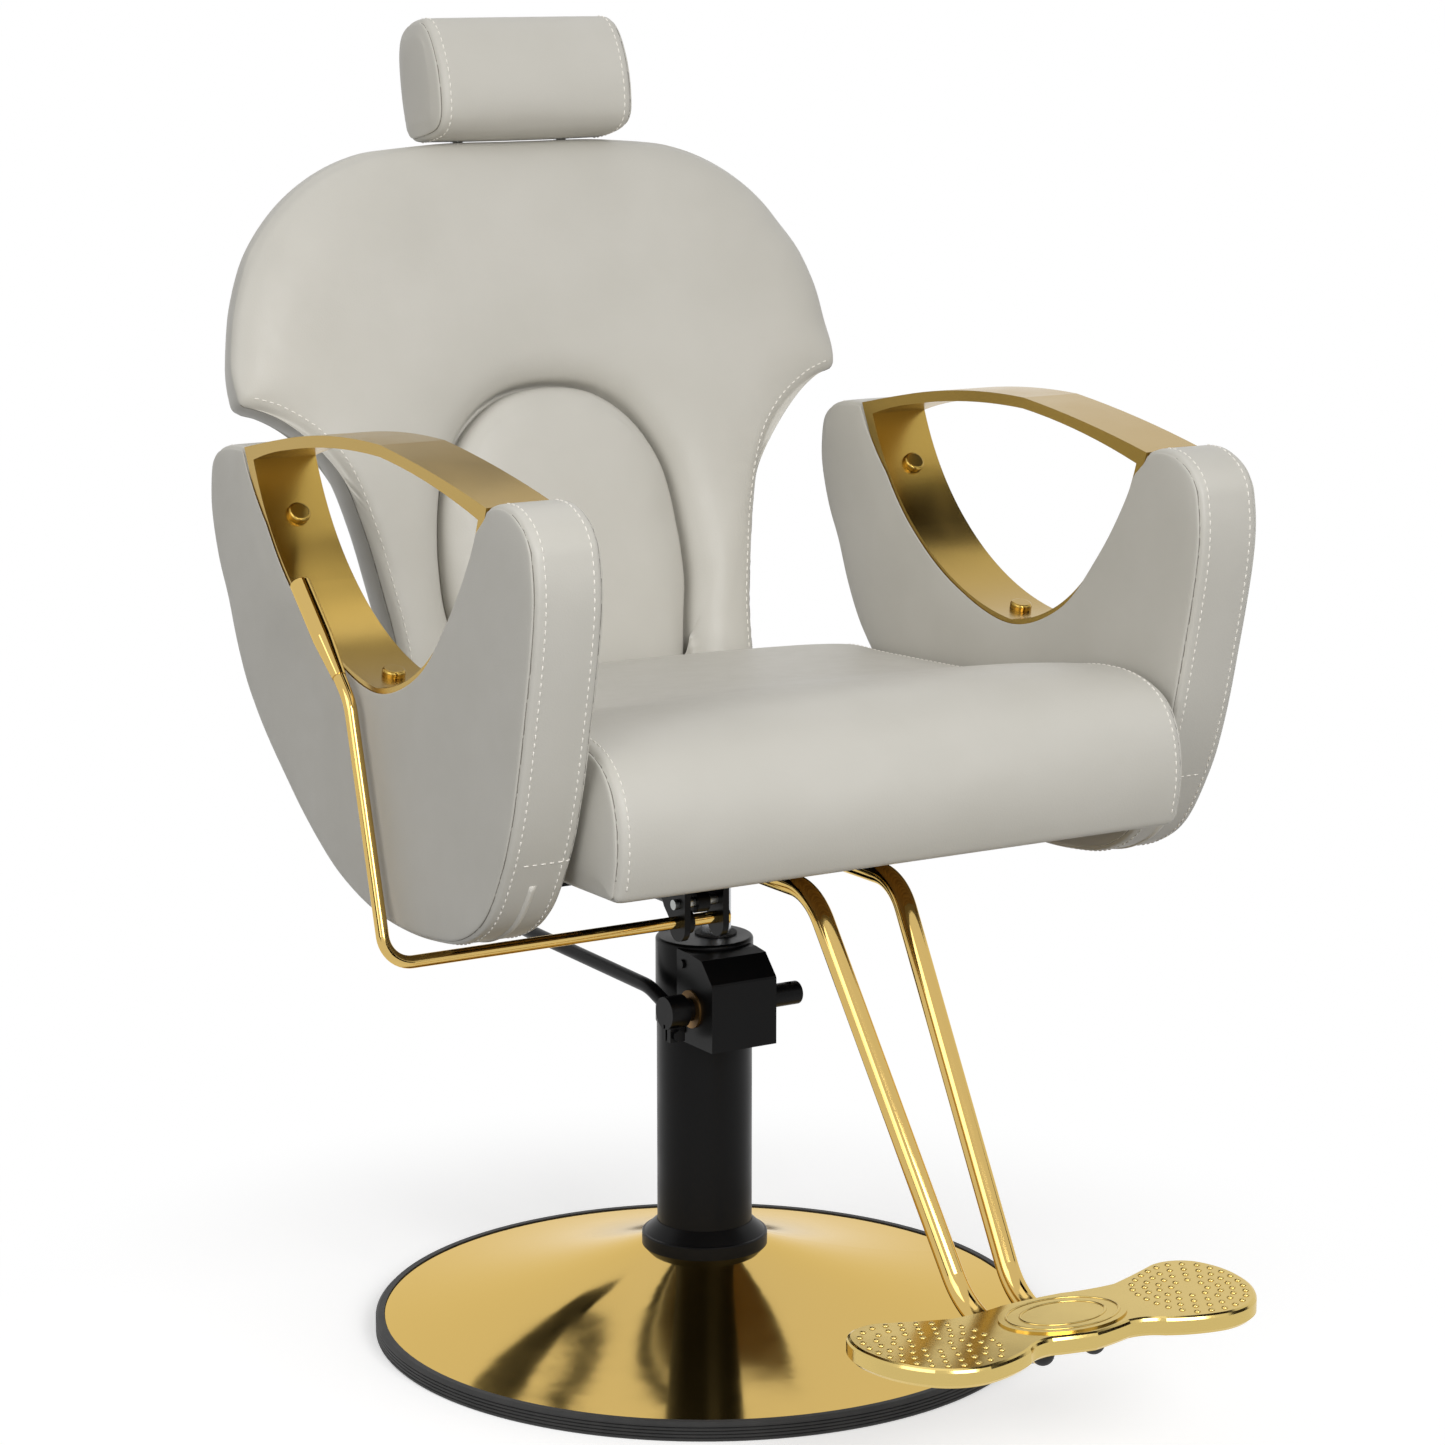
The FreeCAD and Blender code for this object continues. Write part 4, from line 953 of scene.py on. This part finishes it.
    def around(self, edge: np.ndarray, low: np.ndarray, flat: list[np.ndarray]) -> list[np.ndarray]:
        """Rows from the front's edge back along the side band, and in over the rear.

        Args:
            edge: outer outline.
            low: height of the front at each point of it.
            flat: rows of the front, from the arch to the edge.

        Returns:
            Rows of points in metres.
        """
        domed, start = self.domed(edge), self.band_start
        made = []
        for share, pull in self.band:
            shape = self.wall(inward(edge, pull * (1 - domed)), start + (self.rear_edge - start) * share)
            made.append(self.frame.lay(shape, low + (self.rear_edge - low) * share))
        for row, out in ((-3, self.rear + 0.5), (-5, self.rear)):
            made.append(self.frame.lay(self.wall(flat[row], out), out))
        return made

    def held(self, p: Vector) -> bool:
        """Points that rest on something: the rear, the bottom, and the top under the headrest."""
        up, out = self.frame.up_out(p)
        resting = out < self.rear_edge + 1.0 or p.z < 560.0 * MM
        return resting or (up > 465.0 and abs(p.x) < 120.0 * MM)

    def build(self, paints: Paintbox) -> list[Piece]:
        """Cushion, its stitching and its strips of painted seam shade."""
        edge, hole = self.outer(), self.inner()
        bottom, below, _ = self.counts
        count = len(edge)
        shell = Shell("back_cover")
        flat = self.rows(hole, edge)
        heights = [self.front(points, edge, hole) for points in flat]
        front = [self.frame.lay(points, height) for points, height in zip(flat, heights)]
        numbers = shell.stack([self.frame.lay(hole, self.pocket)] + front)
        shell.cap(turned(numbers[0], count - bottom), 2 * bottom)
        shell.seam(numbers[1])
        last = shell.stack(self.around(edge, heights[-1], flat), numbers[-1])[-1]
        shell.cap(turned(last, count - bottom), 2 * bottom)
        sewn = [(bottom + below - k) % count for k in range(2 * (bottom + below) + 1)]
        shell.seam([numbers[-1][k] for k in sewn])
        cover = shell.build()
        inflate(cover, self.held, 6 * MM)
        round_off(cover)
        right = inward(edge, 8.0)[bottom + 4:bottom + below + 2]
        line = self.frame.lay(right, self.front(right, edge, hole) + 1.0)
        side = slice(bottom + 1, bottom + below + 2)
        # Strips of painted seam shade along the band's seams.
        shade_strip = self.frame.lay(edge[side], heights[-1][side])
        pieces = paints.dress(cover, Sewing().sew("back_stitching", cover, [line, line * MIRROR]),
                              SEAM_SHADE_STRIP.lay("back_seams", cover, [shade_strip, shade_strip * MIRROR]))
        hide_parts("back_cushion")
        return pieces


@dataclass
class InsetPad:
    """Arch-shaped pad that fills the middle of the back, crowned, its edge tucked into the cushion."""

    frame: BackFrame = field(default_factory=BackFrame)
    arch: Sequence[Point] = (
        (117, -36), (119, 0), (124.5, 40), (129.5, 73), (130, 100), (128.5, 125), (124, 160), (115.5, 190),
        (98, 220), (77, 242), (50, 259), (25, 266), (0, 268))
    bottom: int = 14
    side: int = 60
    rim: Sequence[Point] = ((0.0, -18.0), (0.0, -12.0), (0.6, -7.5), (2.4, -3.4), (6.0, 0.0), (12.0, 2.4))

    def build(self, paints: Paintbox) -> list[Piece]:
        """The pad."""
        outline = symmetric(self.bottom, (self.arch, self.side))
        shell = Shell("inset_pad")
        numbers = shell.stack([self.frame.lay(inward(outline, depth), out) for depth, out in self.rim])
        start = len(outline) - self.bottom
        shell.cap(turned(numbers[0], start), 2 * self.bottom)
        shell.cap(turned(numbers[-1], start), 2 * self.bottom, self.frame.forward(), 5.5 * MM, 80 * MM)
        pad = shell.build()
        inflate(pad, lambda p: False, 3 * MM)
        round_off(pad)
        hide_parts("back_insert")
        return paints.dress(pad)


@dataclass
class RearPanel:
    """Panel that closes the back's rear: thin padding over its board, drawn down to a sewn edge."""

    frame: BackFrame = field(default_factory=BackFrame)
    back: BackCushion = field(default_factory=BackCushion)
    rows: Sequence[Point] = (
        (0.90, -64.0), (0.913, -65.5), (0.913, -67.4), (0.903, -69.4), (0.885, -70.2), (0.845, -70.8))
    sewn: Point = (0.875, -70.0)

    def scaled(self, scale: float, out: float) -> np.ndarray:
        """The back's outline at a scale, laid at a height out of the back."""
        centre = np.array([0.0, self.back.middle])
        return self.frame.lay(centre + (self.back.outer() - centre) * scale, out)

    def build(self, paints: Paintbox) -> list[Piece]:
        """Panel and its stitching."""
        bottom = self.back.counts[0]
        shell = Shell("rear_cover")
        numbers = shell.stack([self.scaled(scale, out) for scale, out in self.rows])
        for ring in (numbers[0], numbers[-1]):
            shell.cap(turned(ring, len(ring) - bottom), 2 * bottom)
        panel = shell.build()
        round_off(panel, 1)
        line = self.scaled(*self.sewn)
        sewing = Sewing().sew("rear_stitching", panel, [np.vstack([line, line[:1]])])
        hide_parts("back_panel")
        return paints.dress(panel, sewing)


@dataclass
class Headrest(Wrapped):
    """Headrest pad. Its profile holds pairs of a height out of the back and a place up it."""

    half: float = 99.5
    hem: Sequence[Point] = ((0.0, 4.6), (1.4, 1.8), (3.6, 0.4), (8.0, 0.0))
    ends: Sequence[Point] = ((1.4, 3.2), (2.6, 6.2), (3.8, 11.0))
    inner: tuple[float, int] = (18.0, 13)
    cap: tuple[int, float, float] = (21, 2.2, 22.0)
    frame: BackFrame = field(default_factory=BackFrame)
    profile: Sequence[Point] = (
        (-34, 512), (-36, 535), (-35.5, 560), (-32, 584), (-24, 600), (-10, 608), (8, 609.5), (24, 606),
        (35, 594), (42, 577), (46, 556), (46, 535), (41.5, 513), (31, 502.5), (16, 499.5), (-8, 499.5),
        (-26, 502), (-34, 512))
    count: int = 72

    def section(self, across: float, depth: float) -> np.ndarray:
        """Cross-section at a place across, drawn in by a depth, in metres."""
        shape = inward(run(self.profile, self.count), depth)
        return self.frame.place(across, shape[:, 1], shape[:, 0])

    def build(self, paints: Paintbox) -> list[Piece]:
        """Pad, its stitching and its strips of painted seam shade."""
        cover = self.sewn("headrest_cover")
        inflate(cover, lambda p: False, 3 * MM)
        round_off(cover)
        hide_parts("headrest_pad")
        return paints.dress(cover, *self.trims("headrest", cover))


# Arms


@dataclass
class Arm:
    """One arm: a padded body under a metal loop. It is drawn for the sitter's left and mirrored."""

    side: int
    inner: float = 292.0
    outer: float = 354.0
    lip: float = 9.8
    seam_depth: float = 4.4
    seams: Point = (293.4, 352.6)
    stitches: Point = (301.5, 344.5)
    sides: Sequence[Point] = ((-0.6, 3.0), (0.4, 3.6), (0.9, 8.5))
    bed: Sequence[Point] = (
        (-252, 808), (-231, 762), (-192, 706), (-136, 650), (-57, 624), (35, 648), (108, 694), (156, 748),
        (190, 808))
    front: Sequence[Point] = ((-252, 808), (-268, 813), (-290, 812.5), (-306, 806), (-318, 797), (-327, 783))
    below: Sequence[Point] = (
        (-327, 783), (-331, 758), (-331, 735), (-326, 700), (-313, 640), (-296, 572), (-276, 521),
        (-243, 471), (-200, 446), (-148, 437), (-100, 435), (-49, 439), (-5, 450), (34, 466), (80, 494),
        (120, 525), (158, 557), (190, 590), (213, 628), (232, 672), (246, 697), (255, 720), (262, 748),
        (261, 774))
    rear: Sequence[Point] = ((261, 774), (257, 789), (246, 800), (232, 805), (210, 808), (190, 808))
    length: int = 96
    height: int = 12
    tape_top: float = 524.0

    def edge(self) -> np.ndarray:
        """Closed side-view outline (y, z), from the front of the loop's bed."""
        top, low = run(self.bed, self.length), run(self.below[::-1], self.length)
        front, back = run(self.front[::-1], self.height), run(self.rear[::-1], self.height)
        return np.vstack([top, back, low, front])

    def lipped(self, edge: np.ndarray, front: int = 3, rear: int = 9) -> np.ndarray:
        """The outline with its bed carried up beside the metal loop, whose edge it covers.

        Args:
            edge: side-view outline.
            front: points over which the lip rises at the bed's front.
            rear: points over which it falls at the bed's rear.

        Returns:
            Outline of as many points.
        """
        k = np.arange(len(edge))
        share = np.clip(np.minimum((k - 1) / front, (self.length - 3 - k) / rear), 0.0, 1.0)
        return inward(edge, -self.lip * share)

    def across(self, x: float, shape: np.ndarray) -> np.ndarray:
        """Side-view points, in millimetres, set at a place across the chair, in metres."""
        return np.column_stack([np.full(len(shape), x * self.side), shape]) * MM

    def sewn(self, name: str, edge: np.ndarray) -> Piece:
        """The closed cover, before it is filled: a band all round between two flat sides."""
        shell = Shell(name)
        hem = ((0.0, self.seam_depth), (1.2, 1.6), (3.4, 0.3))
        low, high = self.seams
        walls = [(low + x, depth) for x, depth in hem] + [(x, 0.0) for x in (301, 310, 323, 336, 345)]
        walls += [(high - x, depth) for x, depth in reversed(hem)]
        numbers = shell.stack([self.across(x, inward(edge, depth)) for x, depth in walls])
        lipped = self.lipped(edge)
        for ring, x, way in ((numbers[0], self.inner, -1), (numbers[-1], self.outer, 1)):
            shell.seam(ring)
            rows = [self.across(x + way * out, inward(lipped, depth)) for out, depth in self.sides]
            shell.cap(shell.stack(rows, ring)[-1], self.length, (way * self.side, 0, 0), 0.6 * MM, 24 * MM)
        return shell.build()

    def cross_seam(self, y: float = -278.0, count: int = 12) -> np.ndarray:
        """Line of stitches across the front band, where its lower strip begins."""
        xs = np.linspace(296, 350, count) * self.side
        return np.column_stack([xs, np.full(count, y), np.full(count, self.tape_top)]) * MM

    def build(self, paints: Paintbox) -> list[Piece]:
        """Padded body, its stitching, the closing strip under its front, and its strips of painted seam
        shade.
        """
        name = "left" if self.side > 0 else "right"
        edge = self.edge()
        cover = self.sewn("arm_cover_" + name, edge)
        bed = [Vector((0, y, z)) * MM for y, z in edge[:self.length]]

        def held(p: Vector) -> bool:
            """Points beside and under the metal loop."""
            return min((p.y - b.y) ** 2 + (p.z - b.z) ** 2 for b in bed) < self.lip ** 2 * MM ** 2

        inflate(cover, held, 1.2 * MM)
        round_off(cover)
        around = edge[self.length + self.height // 2:]
        lines = [self.across(x, around) for x in self.stitches] + [self.cross_seam()]
        sewing = Sewing().sew("arm_stitching_" + name, cover, lines)
        middle = (self.inner + self.outer) / 2
        tape = ZIP.lay("arm_tape_" + name, cover, [self.across(middle, edge[edge[:, 1] < self.tape_top])])
        # Strips of painted seam shade along both seams of the band.
        sunk = inward(edge, self.seam_depth)[self.length + 2:-2]
        shade_strips = SEAM_SHADE_STRIP.lay("arm_seams_" + name, cover, [self.across(x, sunk) for x in self.seams])
        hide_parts("arm_pad_" + name)
        return paints.dress(cover, sewing, shade_strips, tape)


# Footplate


@dataclass
class Tread:
    """Grip on the footplate: rows of raised studs on both lobes, and two oval rings on the middle boss."""

    top: float = 170.8
    boss: Spot = (0.0, -545.0, 172.5)
    centre: Point = (127.0, -546.0)
    pitch: float = 12.0
    stud_radius: float = 3.0
    ring_radius: float = 0.9
    scales: Sequence[float] = (0.84, 0.65, 0.46, 0.27)
    rings: Sequence[Point] = ((50.0, 33.0), (38.0, 24.0))
    lobe: Sequence[Point] = (
        (90, -604.5), (115, -609.5), (136, -606.5), (157, -594), (174.5, -568), (181.5, -541), (181.5, -519),
        (173, -495), (156, -483), (135, -482.5), (106, -494.5), (84, -510), (73, -530), (71, -555),
        (76, -585), (90, -604.5))

    def spots(self) -> list[Point]:
        """Where the studs of one lobe stand, row inside row."""
        outline, centre = run(self.lobe, 240), np.array(self.centre)
        made: list[Point] = []
        for scale in self.scales:
            row = centre + (outline - centre) * scale
            length = np.linalg.norm(np.roll(row, -1, axis=0) - row, axis=1).sum()
            made.extend(tuple(p) for p in even(np.vstack([row, row[:1]]), int(length / self.pitch)))
        return made

    @staticmethod
    def squeezed(scale: Spot) -> Piece:
        """The piece that was just added, its mesh scaled and shaded smooth."""
        made = bpy.context.active_object
        bpy.ops.object.mode_set(mode="EDIT")
        bpy.ops.mesh.select_all(action="SELECT")
        bpy.ops.transform.resize(value=scale)
        bpy.ops.object.mode_set(mode="OBJECT")
        made.data.shade_smooth()
        return made

    def stud(self) -> Piece:
        """One low round stud, sunk a little in the plate."""
        bpy.ops.mesh.primitive_uv_sphere_add(segments=10, ring_count=5, radius=self.stud_radius * MM)
        return self.squeezed((1.0, 1.0, 0.55))

    def oval(self, along: float, deep: float) -> Piece:
        """One raised oval ring on the boss."""
        bpy.ops.mesh.primitive_torus_add(major_segments=96, minor_segments=8, major_radius=deep * MM,
                                         minor_radius=self.ring_radius * MM)
        made = self.squeezed((along / deep, 1.0, 0.8))
        made.location = Vector(self.boss) * MM
        return made

    def build(self, paints: Paintbox) -> list[Piece]:
        """Studs and rings."""
        first = self.stud()
        studs = [first]
        places = [Vector((side * x, y, self.top)) * MM for side in (1, -1) for x, y in self.spots()]
        first.location = places[0]
        for place in places[1:]:
            again = linked("stud", first.data.copy())
            again.location = place
            studs.append(again)
        rings = [self.oval(along, deep) for along, deep in self.rings]
        made = [self.joined("footplate_studs", studs), self.joined("footplate_rings", rings)]
        for piece in made:
            paints.paint(piece, CAST_GOLD)
        return made

    @staticmethod
    def joined(name: str, pieces: Sequence[Piece]) -> Piece:
        """Pieces as one object at the origin."""
        pick(*pieces)
        bpy.ops.object.join()
        made = bpy.context.active_object
        made.name = made.data.name = name
        bpy.ops.object.transform_apply(location=True, rotation=True, scale=True)
        return made


# Studio


@dataclass(frozen=True)
class Panel:
    """Lamp or dark card: a rectangle at a spot, turned to what it is aimed at, in metres and watts."""

    name: str
    spot: Spot
    size: Point
    aim: Spot = (0.0, -0.05, 0.65)
    power: float = 0.0

    def turn(self, piece: Piece, front: str) -> None:
        """Puts a piece at the spot, with this axis of it towards the aim."""
        piece.location = self.spot
        piece.rotation_euler = (Vector(self.aim) - Vector(self.spot)).to_track_quat(front, "Y").to_euler()


@dataclass
class Studio:
    """Camera at the photograph's angle, soft lights and a pale floor."""

    spot: Spot = (-1.8284, -2.9903, 1.2498)
    pitch: float = 11.151
    heading: float = -31.71
    lens: float = 100.15
    ambient: float = 0.4
    floor_lift: float = 0.36
    floor_fade: Point = (0.36, 0.72)
    lamps: Sequence[Panel] = (
        Panel("key", (-0.3, -3.8, 2.2), (2.2, 1.8), (0.0, -0.05, 0.85), 98.0),
        Panel("fill", (-3.0, -1.2, 2.0), (2.0, 2.5), power=36.0),
        Panel("top", (0.2, 0.6, 3.6), (2.5, 2.5), power=8.0))
    cards: Sequence[Panel] = (
        Panel("card_low", (0.6, -4.2, 0.7), (2.0, 1.6), (0.0, -0.2, 0.3)),
        Panel("card_left", (-4.0, -1.2, 1.0), (1.8, 1.6)),
        Panel("card_right", (3.3, -2.3, 1.0), (2.4, 1.6)),
        Panel("card_top", (1.9, -0.2, 3.4), (1.6, 1.6)))

    def camera(self) -> None:
        """Camera that sees the photograph's frame."""
        data = bpy.data.cameras.new("camera")
        data.lens = self.lens
        data.sensor_width = 36.0
        data.clip_end = 50.0
        made = linked("camera", data)
        made.location = self.spot
        made.rotation_euler = (math.radians(90 - self.pitch), 0.0, math.radians(self.heading))
        bpy.context.scene.camera = made

    def light(self, lamp: Panel) -> None:
        """One soft box."""
        data = bpy.data.lights.new(lamp.name, "AREA")
        data.shape = "RECTANGLE"
        data.size, data.size_y = lamp.size
        data.energy = lamp.power
        lamp.turn(linked(lamp.name, data), "-Z")

    @staticmethod
    def staged(name: str, size: float, surface: Callable[[Tree], Socket]) -> Piece:
        """Square that isn't part of the chair, with the surface that its nodes make."""
        bpy.ops.mesh.primitive_plane_add(size=size, location=(0, 0, 0))
        made = bpy.context.active_object
        made.name = name
        paint = bpy.data.materials.new(name)
        paint.use_nodes = True
        paint.node_tree.nodes.clear()
        add(paint.node_tree, "OutputMaterial", {"Surface": surface(paint.node_tree)})
        made.data.materials.append(paint)
        return made

    @staticmethod
    def glow(tree: Tree, colour: Sequence[float], strength: float = 1.0) -> Socket:
        """Even glow."""
        return add(tree, "Emission", {"Color": colour, "Strength": strength}).outputs[0]

    @staticmethod
    def diffuse(tree: Tree, code: str) -> Socket:
        """Matt surface of an sRGB colour."""
        return add(tree, "BsdfDiffuse", {"Color": linear(code)}).outputs[0]

    @staticmethod
    def seen(tree: Tree, plain: Socket, shown: Socket) -> Socket:
        """What is shown to camera, mirror and glass rays, and plain to the rest."""
        path = add(tree, "LightPath").outputs
        either = add(tree, "Math", {0: path["Is Camera Ray"], 1: path["Is Glossy Ray"]}, operation="MAXIMUM")
        inputs = {0: either.outputs[0], 1: path["Is Transmission Ray"]}
        any_of = add(tree, "Math", inputs, operation="MAXIMUM")
        return add(tree, "MixShader", {0: any_of.outputs[0], 1: plain, 2: shown}).outputs[0]

    def world(self) -> None:
        """White to the camera and to reflections, a plain level of light to surfaces."""
        world = bpy.data.worlds.new("studio")
        bpy.context.scene.world = world
        world.use_nodes = True
        tree = world.node_tree
        tree.nodes.clear()
        plain, white = [add(tree, "Background", {"Color": WHITE, "Strength": strength}).outputs[0]
                        for strength in (self.ambient, 1.0)]
        add(tree, "OutputWorld", {"Surface": self.seen(tree, plain, white)})

    def floor(self, tree: Tree) -> Socket:
        """White floor that keeps the chair's soft shadow: lit near the chair, plain white further out."""
        plain, lit = self.diffuse(tree, "#5C5C5C"), self.diffuse(tree, "#F4F4F4")
        near = add(tree, "AddShader", {0: lit, 1: self.glow(tree, WHITE, self.floor_lift)}).outputs[0]
        place = add(tree, "TexCoord").outputs["Object"]
        reach = add(tree, "VectorMath", {0: place}, operation="LENGTH").outputs["Value"]
        start, end = self.floor_fade
        fade = add(tree, "MapRange", {"Value": reach, "From Min": start, "From Max": end},
                   interpolation_type="SMOOTHSTEP").outputs[0]
        shown = add(tree, "MixShader", {0: fade, 1: near, 2: self.glow(tree, WHITE)}).outputs[0]
        return self.seen(tree, plain, shown)

    def card(self, card: Panel) -> None:
        """Dark card beside the camera that only reflections show."""
        made = self.staged(card.name, 1.0, lambda tree: self.glow(tree, linear("#1A120A")))
        made.scale = (*card.size, 1.0)
        card.turn(made, "Z")
        made.visible_camera = made.visible_diffuse = made.visible_shadow = False
        made.visible_transmission = made.visible_volume_scatter = False

    def build(self) -> None:
        """Sets the whole studio."""
        self.camera()
        self.world()
        self.staged("floor", 14.0, self.floor)
        for lamp in self.lamps:
            self.light(lamp)
        for card in self.cards:
            self.card(card)
        bpy.context.scene.view_settings.view_transform = "Standard"


def dress_frame(frame: dict, paints: Paintbox) -> None:
    """Gives every CAD node the finish of its own slot."""
    slots = {row["node"]: row["material_slot"] for row in frame["record"]["subparts"]}
    for name, node in frame["nodes"].items():
        material = paints.material(SLOT_FINISH[Slot(slots[name])])
        for place in node.material_slots:
            place.material = material


def ride(pieces: Iterable[Piece], body: Body) -> None:
    """Lets pieces move with a body."""
    for piece in pieces:
        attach(piece, body.value)


def main() -> None:
    """Builds the chair's soft pieces and details over the frame."""
    logging.basicConfig(level=logging.INFO)
    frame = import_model()
    paints = Paintbox()
    dress_frame(frame, paints)
    soft = ((SeatCushion(), Body.SEAT), (Arm(1), Body.SEAT), (Arm(-1), Body.SEAT), (BackCushion(), Body.BACK),
            (InsetPad(), Body.BACK), (RearPanel(), Body.BACK), (Headrest(), Body.HEAD))
    for maker, body in soft:
        pieces = maker.build(paints)
        ride(pieces, body)
        for piece in pieces:
            log.info("%s: %d points, on %s", piece.name, len(piece.data.vertices), body.value)
    ride(Tread().build(paints), Body.SEAT)
    Studio().build()


if __name__ == "__main__":
    main()
